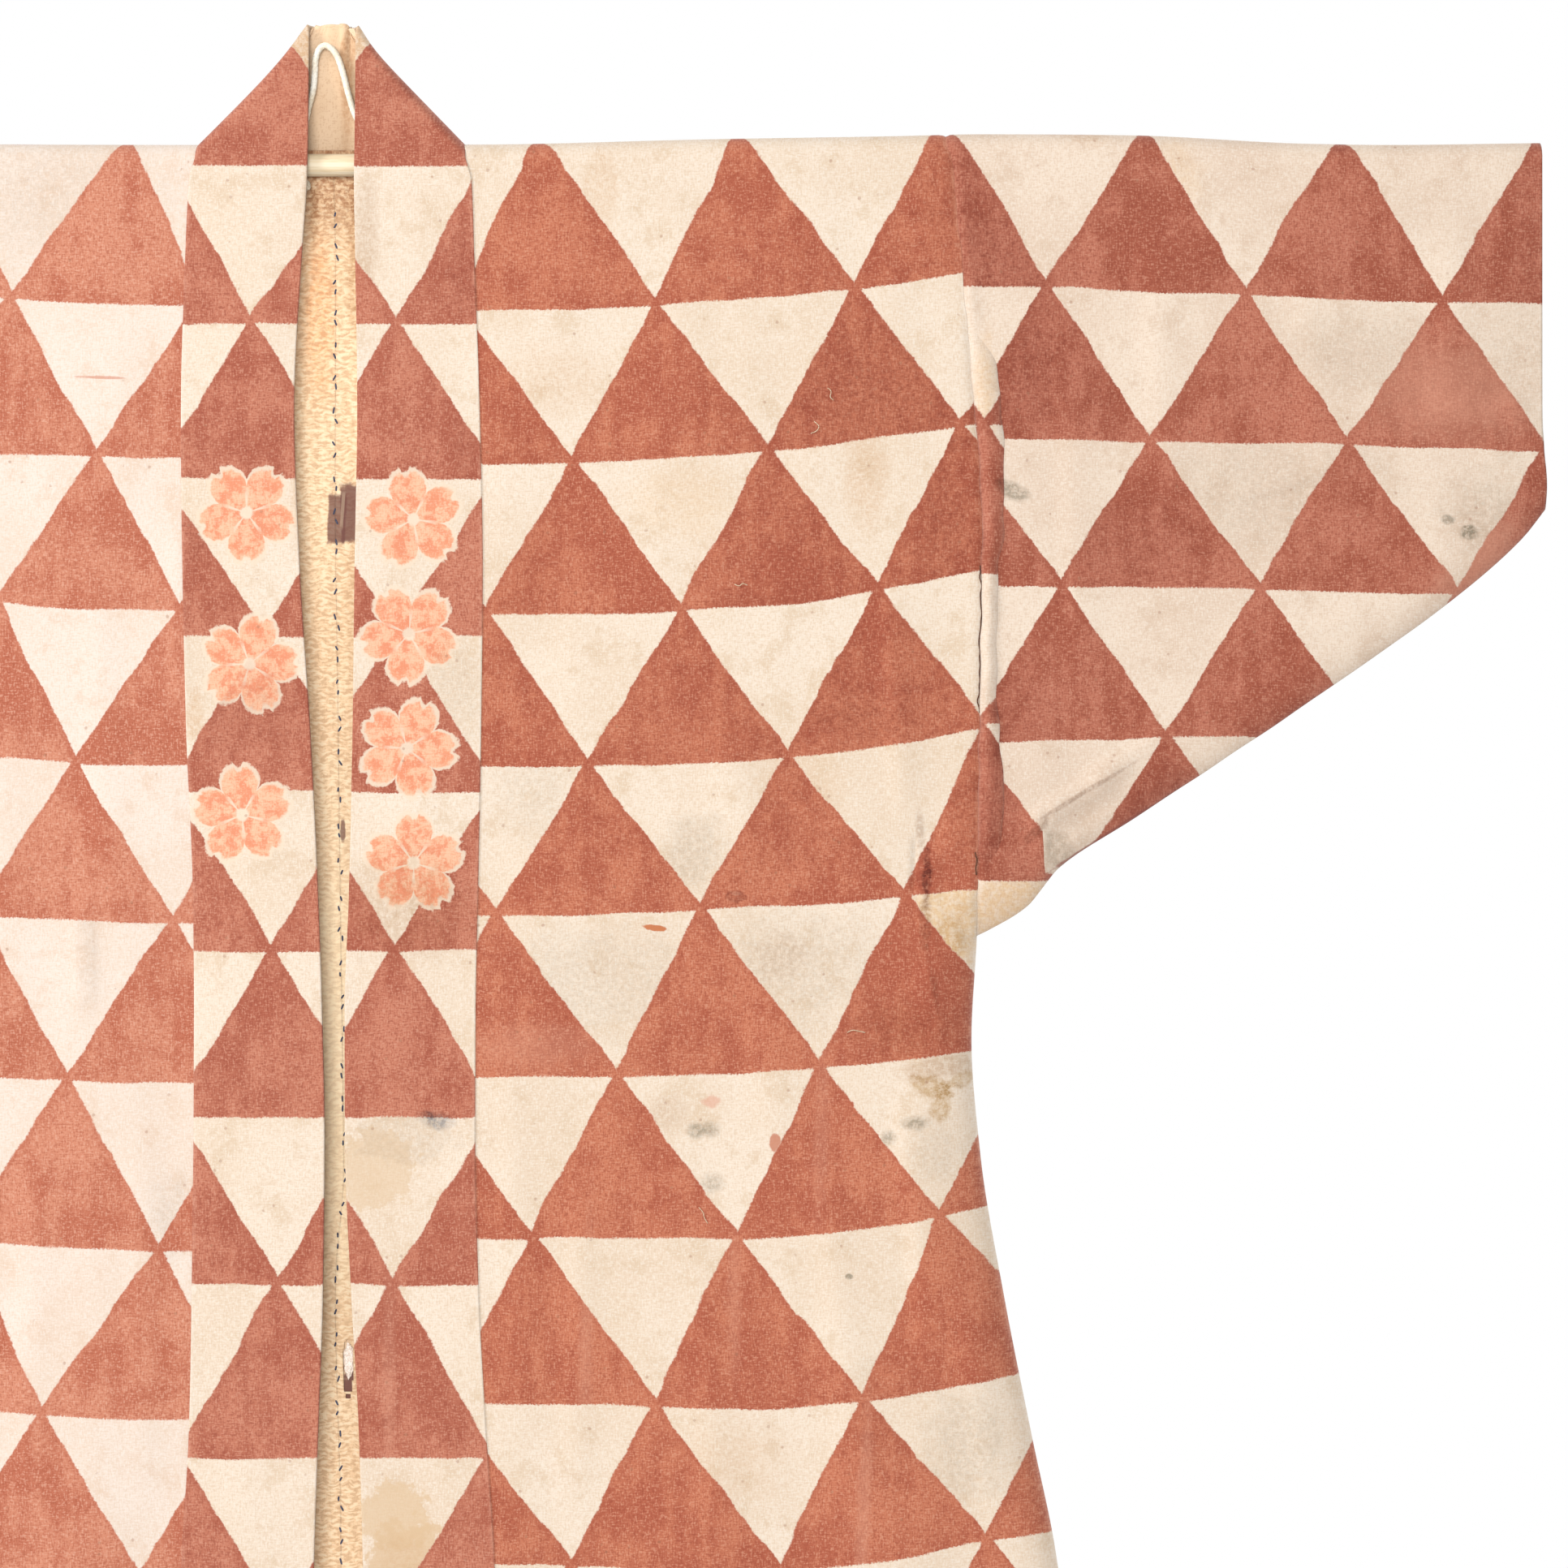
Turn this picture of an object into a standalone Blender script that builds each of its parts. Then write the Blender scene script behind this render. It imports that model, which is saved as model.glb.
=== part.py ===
"""A happi coat hanging on a round rod: cloth walls built from the coat's own cut.

Frame: metres, +Z up, the coat's front faces -Y. The origin is on the rod's axis, at the middle of the neck.
"""

import math

import bmesh
import bpy
import numpy as np

# Driving sizes, in metres
ROD_RADIUS = 0.006
ROD_HALF_LENGTH = 0.625
GAP = 0.0004
LAYER_GAP = 0.0003
BODY_CLOTH = 0.0030
SLEEVE_CLOTH = 0.0026
LINING_CLOTH = 0.0012
COLLAR_CLOTH = 0.0040
TUCK_CLOTH = 0.0018
HEM_Z = -0.908
LINING_HEM_Z = -0.893
NECK_SEAM_Z = 0.0088
CUFF_X = 0.6424
ARMPIT_Z = -0.410
SIDE_ROUND = 0.030
ARMPIT_ROUND = 0.050
LOWER_EDGE_ROUND = 0.030
NECK_CORNER_CLEARANCE = 0.0020
NECK_CORNER_HEIGHT = 0.045
FOLD_RADIUS = ROD_RADIUS + 2 * LAYER_GAP + LINING_CLOTH + BODY_CLOTH / 2
LINING_INSET = BODY_CLOTH / 2 + LAYER_GAP + LINING_CLOTH / 2
LIFT_FADE = 0.120
SLEEVE_DEPTH = 0.0088
ARMHOLE_SHARE = 0.4
COLLAR_PROUD = 0.0006
CORD_RADIUS = 0.0018
CORD_HOLE_RADIUS = 0.0023
KNOT_RADIUS = 0.0040
KNOT_SQUASH = 0.9
ROD_BEVEL = 0.0008
TUCK_GAP = 0.0006
TUCK_SWELL = 0.0008
RIP_CENTRE = (0.0086, -0.6424)
RIP_HALF_SIZE = (0.0030, 0.0146)

# Collar edges down the two fronts
COLLAR_COLUMNS = ("z", "left_outer", "left_inner", "right_inner", "right_outer")
COLLAR_EDGES = (
    (-0.908, -0.0820, -0.0120, 0.0200, 0.0910),
    (-0.745, -0.0787, -0.0090, 0.0172, 0.0869),
    (-0.667, -0.0748, -0.0065, 0.0147, 0.0820),
    (-0.602, -0.0736, -0.0043, 0.0110, 0.0785),
    (-0.516, -0.0726, -0.0034, 0.0075, 0.0765),
    (-0.452, -0.0724, -0.0047, 0.0073, 0.0766),
    (-0.387, -0.0731, -0.0069, 0.0095, 0.0779),
    (-0.300, -0.0767, -0.0112, 0.0114, 0.0795),
    (-0.215, -0.0787, -0.0168, 0.0125, 0.0804),
    (-0.130, -0.0796, -0.0198, 0.0138, 0.0786),
    (-0.045, -0.0774, -0.0156, 0.0125, 0.0756),
    (-0.010, -0.0757, -0.0133, 0.0118, 0.0742),
    (0.009, -0.0715, -0.0129, 0.0120, 0.0697),
    (0.070, -0.0715, -0.0129, 0.0120, 0.0697),
)
# Where the collar folds over to the back of the neck: the fold's two ends
FOLD_COLUMNS = ("across", "left_x", "left_z", "right_x", "right_z", "half_depth", "reach")
COLLAR_FOLD = (
    (0.0, -0.0129, 0.0673, 0.0120, 0.0685, 0.0025, 0.0025),
    (1.0, -0.0715, 0.0090, 0.0697, 0.0090, 0.0087, 0.0050),
)
COLLAR_CROWN = 0.0035

# Sleeve seam down to the armpit, then the flared side seam
SIDE_COLUMNS = ("z", "x")
SIDE_SEAM = (
    (-0.908, 0.4050),
    (-0.738, 0.3831),
    (-0.678, 0.3707),
    (-0.602, 0.3556),
    (-0.527, 0.3431),
    (-0.466, 0.3384),
    (-0.407, 0.3414),
    (-0.300, 0.3435),
    (-0.195, 0.3449),
    (-0.099, 0.3380),
    (-0.032, 0.3320),
    (0.016, 0.3255),
)
# How far the cloth stands from the rod's plane, front and back
DEPTH_COLUMNS = ("z", "front", "back")
DEPTHS = (
    (-0.908, 0.0165, 0.0135),
    (-0.700, 0.0150, 0.0125),
    (-0.430, 0.0138, 0.0118),
    (-0.200, 0.0126, 0.0112),
    (-0.060, 0.0106, 0.0102),
    (0.000, FOLD_RADIUS, FOLD_RADIUS),
    (0.020, FOLD_RADIUS, FOLD_RADIUS),
)
# Top of the shoulder and sleeve folds, across the coat
TOP_COLUMNS = ("x", "z")
SHOULDER_TOP = (
    (-0.642, 0.0110),
    (-0.560, 0.0108),
    (-0.430, 0.0135),
    (-0.345, 0.0140),
    (-0.200, 0.0112),
    (-0.076, 0.0108),
    (0.076, 0.0110),
    (0.200, 0.0138),
    (0.300, 0.0155),
    (0.345, 0.0165),
    (0.420, 0.0160),
    (0.520, 0.0114),
    (0.560, 0.0108),
    (0.642, 0.0118),
)
# Lower edge of the sleeve, from the armpit to the corner of the cuff
LOWER_COLUMNS = ("x", "z")
SLEEVE_LOWER = (
    (0.3420, -0.4100),
    (0.3500, -0.4060),
    (0.3690, -0.3940),
    (0.3850, -0.3740),
    (0.4260, -0.3466),
    (0.5160, -0.2864),
    (0.6003, -0.2262),
    (0.6325, -0.1975),
    (0.6440, -0.1830),
)
CUFF_COLUMNS = ("z", "x")
CUFF_EDGE = (
    (-0.183, 0.6445),
    (-0.172, 0.6450),
    (-0.140, 0.6425),
    (0.016, 0.6424),
)
# Pressed tuck beside the sleeve seam: its width down the armhole
TUCK_COLUMNS = ("z", "width")
TUCK_WIDTHS = (
    (-0.382, 0.0150),
    (-0.323, 0.0120),
    (-0.273, 0.0078),
    (-0.225, 0.0078),
    (-0.186, 0.0112),
    (-0.109, 0.0140),
    (-0.085, 0.0100),
)
# Centre seam of the back lining, which wanders
SEAM_COLUMNS = ("z", "x")
LINING_SEAM = (
    (-0.893, 0.0040),
    (-0.741, 0.0052),
    (-0.600, 0.0022),
    (-0.536, 0.0068),
    (-0.400, 0.0047),
    (-0.260, 0.0022),
    (-0.180, 0.0006),
    (-0.060, 0.0003),
    (0.008, -0.0010),
)
# Soft vertical folds of the fronts and backs, growing from their start to the hem. Each row gives
# x_start, x_hem, z_start, z_full, height, width
RIGHT_FOLDS = (
    (0.272, 0.292, -0.440, -0.780, 0.0040, 0.030),
    (0.198, 0.206, -0.520, -0.860, 0.0030, 0.028),
    (0.120, 0.130, -0.600, -0.908, -0.0022, 0.030),
    (0.345, 0.360, -0.560, -0.820, -0.0020, 0.022),
)
LEFT_FOLDS = (
    (0.284, 0.300, -0.470, -0.800, 0.0036, 0.032),
    (0.118, 0.130, -0.400, -0.700, 0.0024, 0.026),
    (0.205, 0.215, -0.560, -0.880, -0.0024, 0.032),
)
BACK_FOLDS = (
    (0.090, 0.100, -0.300, -0.800, 0.0030, 0.040),
    (0.215, 0.235, -0.420, -0.850, 0.0034, 0.036),
    (0.300, 0.325, -0.500, -0.880, -0.0022, 0.028),
)

# The hanging cord, hand laid: up from the left hole, round the loop, down to the right hole
CORD_HOLES_X = (-0.0160, 0.0200)
CORD_ROUTE = (
    (-0.0160, 0.0000, -0.0061),
    (-0.0160, 0.0000, 0.0000),
    (-0.0160, 0.0000, 0.0065),
    (-0.0160, 0.0008, 0.0140),
    (-0.0154, 0.0015, 0.0220),
    (-0.0136, 0.0014, 0.0310),
    (-0.0112, 0.0008, 0.0400),
    (-0.0102, 0.0000, 0.0490),
    (-0.0098, -0.0008, 0.0560),
    (-0.0080, -0.0014, 0.0612),
    (-0.0047, -0.0018, 0.0636),
    (-0.0010, -0.0015, 0.0618),
    (0.0020, -0.0009, 0.0575),
    (0.0043, -0.0002, 0.0512),
    (0.0062, 0.0006, 0.0440),
    (0.0080, 0.0013, 0.0370),
    (0.0104, 0.0020, 0.0290),
    (0.0140, 0.0018, 0.0215),
    (0.0180, 0.0008, 0.0145),
    (0.0200, 0.0000, 0.0065),
    (0.0200, 0.0000, 0.0000),
    (0.0200, 0.0000, -0.0061),
)
CORD_POINTS = 46

# How finely the walls are divided
ARC_STEPS = 5
ARMHOLE_ROWS = 7
SKIRT_ROWS = 9
SLEEVE_STATIONS = (0.0, 0.03, 0.08, 0.13, 0.2, 0.35, 0.55, 0.75, 0.9, 1.0)
BODY_COLUMNS = 7
NECK_PLACES = (0.0, 0.35, 0.7, 0.96)
SIDE_STEPS = 4
COLLAR_COLUMNS_ACROSS = 4
COLLAR_TURN_STEPS = 8
COLLAR_NECK_STEPS = 6
COLLAR_TOP_STEPS = 4
TUCK_ROWS = 14
TUCK_COLUMNS_ACROSS = 4


def read(table, columns, name, at):
    """Smooth value of a named column at a place in the first column, with no overshoot between rows."""
    places = [row[0] for row in table]
    values = [row[columns.index(name)] for row in table]
    at = min(max(at, places[0]), places[-1])
    i = min(max(int(np.searchsorted(places, at)) - 1, 0), len(places) - 2)
    steps = np.diff(values) / np.diff(places)

    def slope(k):
        if k == 0 or k == len(places) - 1:
            return steps[min(k, len(steps) - 1)]
        before, after = steps[k - 1], steps[k]
        if before * after <= 0:
            return 0.0
        return 2 * before * after / (before + after)

    span = places[i + 1] - places[i]
    t = (at - places[i]) / span
    return (
        values[i] * (1 + 2 * t) * (1 - t) ** 2
        + slope(i) * span * t * (1 - t) ** 2
        + values[i + 1] * t * t * (3 - 2 * t)
        - slope(i + 1) * span * t * t * (1 - t)
    )


def mix(a, b, t):
    return a + (b - a) * t


def smooth(t):
    t = min(max(t, 0.0), 1.0)
    return t * t * (3 - 2 * t)


def steps_between(a, b, count):
    return [mix(a, b, k / count) for k in range(count + 1)]


def closing(z, lowest, round_height):
    """1 down to where a fold starts to round in, 0 at its lowest point."""
    low = min(max((lowest + round_height - z) / round_height, 0.0), 1.0)
    return math.sqrt(1 - low * low)


def collar_edge(name, z):
    return read(COLLAR_EDGES, COLLAR_COLUMNS, name, z)


def side_x(z):
    return read(SIDE_SEAM, SIDE_COLUMNS, "x", z)


def depth(face, z):
    return read(DEPTHS, DEPTH_COLUMNS, face, z)


def fold_top(x):
    return read(SHOULDER_TOP, TOP_COLUMNS, "z", x)


def fold_height(side, face, x, z):
    """How far the soft folds lift the cloth away from the rod's plane."""
    rows = BACK_FOLDS if face == "back" else (RIGHT_FOLDS if side > 0 else LEFT_FOLDS)
    lift = 0.0
    for x_start, x_hem, z_start, z_full, height, width in rows:
        down = (z_start - z) / (z_start - z_full)
        middle = mix(x_start, x_hem, min(max(down, 0.0), 1.2))
        lift += height * smooth(down) * math.exp(-(((x - middle) / width) ** 2))
    return lift


def body_depth(side, face, x, z):
    """Distance of a body panel from the rod's plane, rounded in at the side seam."""
    to_edge = min(max((side_x(z) - x) / SIDE_ROUND, 0.0), 1.0)
    rounded = math.sqrt(1 - (1 - to_edge) ** 2)
    full = depth(face, z)
    at_edge = full * closing(z, ARMPIT_Z, ARMPIT_ROUND)
    inner = 0.0 if face == "back" else collar_edge("right_outer", z)
    fade = smooth(to_edge) * smooth((x - inner) / SIDE_ROUND)
    return mix(at_edge, full, rounded) + fold_height(side, face, x, z) * fade


def panel_inner_x(side, z):
    """Inner edge of a front panel, where the collar is sewn on, clear of the collar's fold at the neck."""
    edge = collar_edge("right_outer" if side > 0 else "left_outer", z)
    return abs(edge) + GAP + NECK_CORNER_CLEARANCE * smooth(1 + z / NECK_CORNER_HEIGHT)


def columns_across(inner, outer):
    """Places from the inner edge to the side seam, closer where the side turns."""
    flat = steps_between(inner, outer - SIDE_ROUND, BODY_COLUMNS)
    turned = [math.sin(math.radians(90 * k / SIDE_STEPS)) for k in range(1, SIDE_STEPS + 1)]
    return flat + [outer - SIDE_ROUND * (1 - turn) for turn in turned]


def rows_down(round_z, round_height):
    """Heights from the rod down to where a fold rounds in, then closer down to its lowest point."""
    rounding = [math.sin(math.radians(90 * k / ARC_STEPS)) for k in range(1, ARC_STEPS + 1)]
    return steps_between(0.0, round_z, ARMHOLE_ROWS) + [round_z - round_height * t for t in rounding]


def panel_heights():
    """Heights of a panel's rows from the rod down to the lining's hem."""
    rows = rows_down(ARMPIT_Z + ARMPIT_ROUND, ARMPIT_ROUND)
    return rows + steps_between(ARMPIT_Z, LINING_HEM_Z, SKIRT_ROWS)[1:]


def panel_rows(side, centre_x=None):
    """Rows of a body panel: up the front from the hem, over the rod, and down the back to the hem.

    With centre_x, the rows are those of the back lining instead: the panel's own places moved in, from the
    lining's centre seam to where the side turns, and from just over the shoulder to just above the hem."""
    lining = centre_x is not None
    inset = LINING_INSET if lining else 0.0
    radius = FOLD_RADIUS - inset
    neck_x = panel_inner_x(side, NECK_SEAM_Z)
    empty = [None] * len(NECK_PLACES)

    def lift(x, z):
        """The shoulder's fold lies a little above the rod in places, which fades out down the panel."""
        above = fold_top(side * x) - BODY_CLOTH / 2 - FOLD_RADIUS
        return above * smooth(1 + z / LIFT_FADE)

    def point(face, x, z):
        y = body_depth(side, face, x, z) - inset
        return (side * x, -y if face == "front" else y, z + lift(x, z))

    def across(inner, z):
        xs = columns_across(inner, side_x(z) - GAP / 2)
        return xs[: BODY_COLUMNS + 2] if lining else xs

    rows = []
    down = panel_heights()
    for z in [HEM_Z, *down[::-1]]:
        if lining and z < down[1]:
            continue
        rows.append(empty + [point("front", x, z) for x in across(panel_inner_x(side, z), z)])
    for k in range(1, 2 * ARC_STEPS):
        angle = math.pi * k / (2 * ARC_STEPS)
        y = -radius * math.cos(angle)
        z = radius * math.sin(angle)
        rows.append(empty + [(side * x, y, z + lift(x, 0.0)) for x in across(neck_x, NECK_SEAM_Z)])
    for z in down if lining else [*down, HEM_Z]:
        neck = []
        for place in NECK_PLACES:
            x = mix(GAP / 2, neck_x, place)
            if lining and place == 0:
                x = side * centre_x(z) + GAP / 2
            if z == 0:
                neck.append((side * x, radius, NECK_SEAM_Z - GAP - inset / 2))
            else:
                y = body_depth(side, "back", x, z) - inset
                neck.append((side * x, y, z + lift(neck_x, z)))
        rows.append(neck + [point("back", x, z) for x in across(neck_x, z)])
    return rows


def sleeve_low_z(u):
    """Lower edge of the sleeve, u of the way from the armhole to the cuff."""
    first, last = SLEEVE_LOWER[0][0], SLEEVE_LOWER[-1][0]
    return read(SLEEVE_LOWER, LOWER_COLUMNS, "z", mix(first, last, u))


def sleeve_x(u, z):
    return mix(side_x(z) + GAP / 2, read(CUFF_EDGE, CUFF_COLUMNS, "x", z), u)


def sleeve_round(u):
    return mix(ARMPIT_ROUND, LOWER_EDGE_ROUND, smooth(u / ARMHOLE_SHARE))


def sleeve_depth(face, u, z):
    full = mix(depth(face, z), SLEEVE_DEPTH, smooth(u / ARMHOLE_SHARE))
    return full * closing(z, sleeve_low_z(u), sleeve_round(u))


def sleeve_ring(side, u):
    """One ring round the sleeve: down the front from the fold at the top, then up the back."""
    lift = fold_top(side * sleeve_x(u, NECK_SEAM_Z)) - SLEEVE_CLOTH / 2 - FOLD_RADIUS
    low = sleeve_low_z(u)
    heights = rows_down(low + sleeve_round(u), sleeve_round(u))

    def half(face, sign):
        points = []
        for k in range(1, ARC_STEPS):
            angle = math.radians(90 * k / ARC_STEPS)
            y, z = FOLD_RADIUS * math.sin(angle), FOLD_RADIUS * math.cos(angle)
            points.append((side * sleeve_x(u, NECK_SEAM_Z), sign * y, z + lift))
        for z in heights[:-1]:
            y = sleeve_depth(face, u, z)
            points.append((side * sleeve_x(u, z), sign * y, z + lift * smooth(1 + z / LIFT_FADE)))
        return points

    top = (side * sleeve_x(u, NECK_SEAM_Z), 0.0, FOLD_RADIUS + lift)
    bottom = (side * sleeve_x(u, low), 0.0, low)
    return [top, *half("front", -1), bottom, *reversed(half("back", 1))]


def collar_front_y(z):
    """The collar's distance in front of the rod: level with the fronts below, leaning back above the neck."""
    low_z, high_z = COLLAR_FOLD[1][2], COLLAR_FOLD[0][2]
    low_depth, high_depth = COLLAR_FOLD[1][5], COLLAR_FOLD[0][5]
    if z <= 0:
        return depth("front", z) + COLLAR_PROUD
    if z <= low_z:
        return mix(depth("front", 0.0) + COLLAR_PROUD, low_depth, z / low_z)
    return mix(low_depth, high_depth, (z - low_z) / (high_z - low_z))


def collar_x(word, across, z):
    return mix(collar_edge(word + "_inner", z), collar_edge(word + "_outer", z), across)


def collar_half(side, word):
    """Rows from the hem up one front to the back of the neck, where the band has turned over."""

    def fold(name, across):
        return read(COLLAR_FOLD, FOLD_COLUMNS, name, across)

    places = steps_between(0.0, 1.0, COLLAR_COLUMNS_ACROSS)
    reach = {c: math.sqrt(2) * fold("reach", c) for c in places}
    rows = []
    heights = [HEM_Z, *panel_heights()[:0:-1]]
    straight_top = heights[-1]
    for z in heights:
        rows.append([(collar_x(word, c, z), -collar_front_y(z), z) for c in places])
    for t in steps_between(0.0, 1.0, COLLAR_TOP_STEPS)[1:-1]:
        row = []
        for c in places:
            z = mix(straight_top, fold(word + "_z", c) - reach[c], t)
            row.append((collar_x(word, c, z), -collar_front_y(z), z))
        rows.append(row)
    for k in range(COLLAR_TURN_STEPS + 1):
        angle = math.radians(180 * k / COLLAR_TURN_STEPS - 90)
        row = []
        for c in places:
            along = reach[c] * (1 - math.cos(angle))
            if angle < 0:
                z = fold(word + "_z", c) - along
                row.append((collar_x(word, c, z), collar_front_y(z) * math.sin(angle), z))
            else:
                x = fold(word + "_x", c) - side * along
                row.append((x, fold("half_depth", c) * math.sin(angle), fold(word + "_z", c)))
        rows.append(row)
    return rows


def collar_rows():
    """The whole band: up the right front, round the back of the neck, and down the left front."""
    right = collar_half(1, "right")
    left = collar_half(-1, "left")
    neck = []
    for t in steps_between(0.0, 1.0, COLLAR_NECK_STEPS)[1:-1]:
        row = []
        for k, (a, b) in enumerate(zip(right[-1], left[-1])):
            x, y, z = (mix(p, q, t) for p, q in zip(a, b))
            crown = COLLAR_CROWN * math.sin(math.pi * t) * (1 - k / COLLAR_COLUMNS_ACROSS) ** 2
            row.append((x, y, z + crown))
        neck.append(row)
    return right + neck + left[::-1]


def tuck_rows(side, face):
    """A pressed tuck that lies on the sleeve beside its seam, from the sleeve's points moved out."""
    sign = -1 if face == "front" else 1
    lift = SLEEVE_CLOTH / 2 + TUCK_GAP + TUCK_CLOTH / 2
    rows = []
    for z in steps_between(TUCK_WIDTHS[0][0], TUCK_WIDTHS[-1][0], TUCK_ROWS):
        width = read(TUCK_WIDTHS, TUCK_COLUMNS, "width", z)
        row = []
        for t in steps_between(0.0, 1.0, TUCK_COLUMNS_ACROSS):
            x = side_x(z) + GAP + width * t
            u = (x - side_x(z)) / (CUFF_X - side_x(z))
            y = sleeve_depth(face, u, z) + lift + TUCK_SWELL * math.sin(math.pi * t)
            row.append((side * x, sign * y, z))
        rows.append(row)
    return rows


def finish(name, colour, roughness):
    material = bpy.data.materials.new(name)
    material.use_nodes = True
    shader = material.node_tree.nodes["Principled BSDF"]
    shader.inputs["Base Color"].default_value = (*colour, 1.0)
    shader.inputs["Roughness"].default_value = roughness
    shader.inputs["Metallic"].default_value = 0.0
    return material


def cloth_wall(name, rows, thickness, colour, ring=False):
    """A cloth wall through rows of points. None leaves a place empty, and ring closes each row."""
    surface = bmesh.new()
    corners = [[p and surface.verts.new(p) for p in row] for row in rows]
    for upper, lower in zip(corners, corners[1:]):
        count = len(upper)
        for k in range(count if ring else count - 1):
            n = (k + 1) % count
            face = (upper[k], upper[n], lower[n], lower[k])
            if None not in face:
                surface.faces.new(face)
    for corner in [v for v in surface.verts if not v.link_faces]:
        surface.verts.remove(corner)
    bmesh.ops.recalc_face_normals(surface, faces=surface.faces)
    mesh = bpy.data.meshes.new(name)
    surface.to_mesh(mesh)
    surface.free()
    mesh.shade_smooth()
    mesh.materials.append(finish(name, colour, 0.9))
    wall = bpy.data.objects.new(name, mesh)
    parts.objects.link(wall)
    cloth = wall.modifiers.new("cloth", "SOLIDIFY")
    cloth.thickness = thickness
    cloth.offset = 0.0
    return wall


def move_to(thing, collection):
    for old_home in list(thing.users_collection):
        old_home.objects.unlink(thing)
    collection.objects.link(thing)


def upright_cutter(name, location, radius, length, sides, scale=(1, 1), lying=False):
    bpy.ops.mesh.primitive_cylinder_add(vertices=sides, radius=radius, depth=length)
    cutter = bpy.context.object
    cutter.name = name
    if lying:
        cutter.rotation_euler = (math.pi / 2, 0, 0)
    cutter.scale = (scale[0], scale[1], 1)
    cutter.location = location
    cutter.hide_render = True
    cutter.display_type = "WIRE"
    move_to(cutter, cutters)
    return cutter


def cut(thing, cutter):
    hole = thing.modifiers.new(cutter.name, "BOOLEAN")
    hole.operation = "DIFFERENCE"
    hole.solver = "EXACT"
    hole.object = cutter


def make_rod():
    bpy.ops.mesh.primitive_cylinder_add(vertices=24, radius=ROD_RADIUS, depth=2 * ROD_HALF_LENGTH)
    rod = bpy.context.object
    rod.name = "rod"
    rod.rotation_euler = (0, math.pi / 2, 0)
    rod.data.materials.append(finish("rod", (0.80, 0.62, 0.38), 0.5))
    move_to(rod, parts)
    edge = rod.modifiers.new("eased ends", "BEVEL")
    edge.width = ROD_BEVEL
    edge.segments = 1
    edge.limit_method = "ANGLE"
    edge.angle_limit = math.radians(60)
    for k, x in enumerate(CORD_HOLES_X):
        name = "cord hole " + str(k + 1)
        cut(rod, upright_cutter(name, (x, 0, 0), CORD_HOLE_RADIUS, 4 * ROD_RADIUS, 12))


def smooth_route(route, count):
    """Evenly spaced points on a smooth curve through the route."""
    route = np.array(route)
    before = np.vstack([2 * route[0] - route[1], route, 2 * route[-1] - route[-2]])
    fine = []
    for k in range(len(route) - 1):
        p, q, r, s = before[k : k + 4]
        for t in np.linspace(0, 1, 20, endpoint=False):
            fine.append(
                0.5
                * (
                    2 * q
                    + (r - p) * t
                    + (2 * p - 5 * q + 4 * r - s) * t**2
                    + (3 * q - p - 3 * r + s) * t**3
                )
            )
    fine.append(route[-1])
    fine = np.array(fine)
    lengths = np.concatenate([[0], np.cumsum(np.linalg.norm(np.diff(fine, axis=0), axis=1))])
    wanted = np.linspace(0, lengths[-1], count)
    return np.column_stack([np.interp(wanted, lengths, fine[:, k]) for k in range(3)])


def make_cord():
    curve = bpy.data.curves.new("cord", "CURVE")
    curve.dimensions = "3D"
    curve.bevel_depth = CORD_RADIUS
    curve.bevel_resolution = 2
    curve.use_fill_caps = True
    spline = curve.splines.new("POLY")
    points = smooth_route(CORD_ROUTE, CORD_POINTS)
    spline.points.add(len(points) - 1)
    for place, point in zip(spline.points, points):
        place.co = (*point, 1.0)
    curve.materials.append(finish("cord", (0.90, 0.87, 0.78), 0.8))
    parts.objects.link(bpy.data.objects.new("cord", curve))


def make_knots():
    for word, x in zip(("left", "right"), CORD_HOLES_X):
        bpy.ops.mesh.primitive_uv_sphere_add(segments=12, ring_count=8, radius=KNOT_RADIUS)
        knot = bpy.context.object
        knot.name = "knot_" + word
        knot.scale = (1, 1, KNOT_SQUASH)
        knot.location = (x, 0, CORD_ROUTE[0][2] - LAYER_GAP - KNOT_SQUASH * KNOT_RADIUS)
        knot.data.materials.append(finish("knot_" + word, (0.90, 0.87, 0.78), 0.8))
        knot.data.shade_smooth()
        move_to(knot, parts)


def lining_seam_x(z):
    return read(LINING_SEAM, SEAM_COLUMNS, "x", z)


def make_coat():
    for side, word in ((1, "right"), (-1, "left")):
        cloth_wall("body_" + word, panel_rows(side), BODY_CLOTH, (0.60, 0.24, 0.15))
        rings = [sleeve_ring(side, u) for u in SLEEVE_STATIONS]
        cloth_wall("sleeve_" + word, rings, SLEEVE_CLOTH, (0.50, 0.19, 0.12), ring=True)
        for face in ("front", "back"):
            name = "tuck_" + face + "_" + word
            cloth_wall(name, tuck_rows(side, face), TUCK_CLOTH, (0.78, 0.62, 0.48))
    lining_colour = (0.84, 0.62, 0.40)
    cloth_wall("lining_left", panel_rows(-1, lining_seam_x), LINING_CLOTH, lining_colour)
    lining = cloth_wall("lining_right", panel_rows(1, lining_seam_x), LINING_CLOTH, lining_colour)
    x, z = RIP_CENTRE
    place = (x, depth("back", z) - LINING_INSET, z)
    cut(lining, upright_cutter("rip in the lining", place, 1.0, 0.008, 10, RIP_HALF_SIZE, True))
    cloth_wall("collar", collar_rows(), COLLAR_CLOTH, (0.55, 0.22, 0.14))


for old in list(bpy.data.objects):
    bpy.data.objects.remove(old, do_unlink=True)
parts = bpy.data.collections.new("happi coat")
bpy.context.scene.collection.children.link(parts)
cutters = bpy.data.collections.new("cutters")
bpy.context.scene.collection.children.link(cutters)
make_coat()
make_rod()
make_cord()
make_knots()
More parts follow.
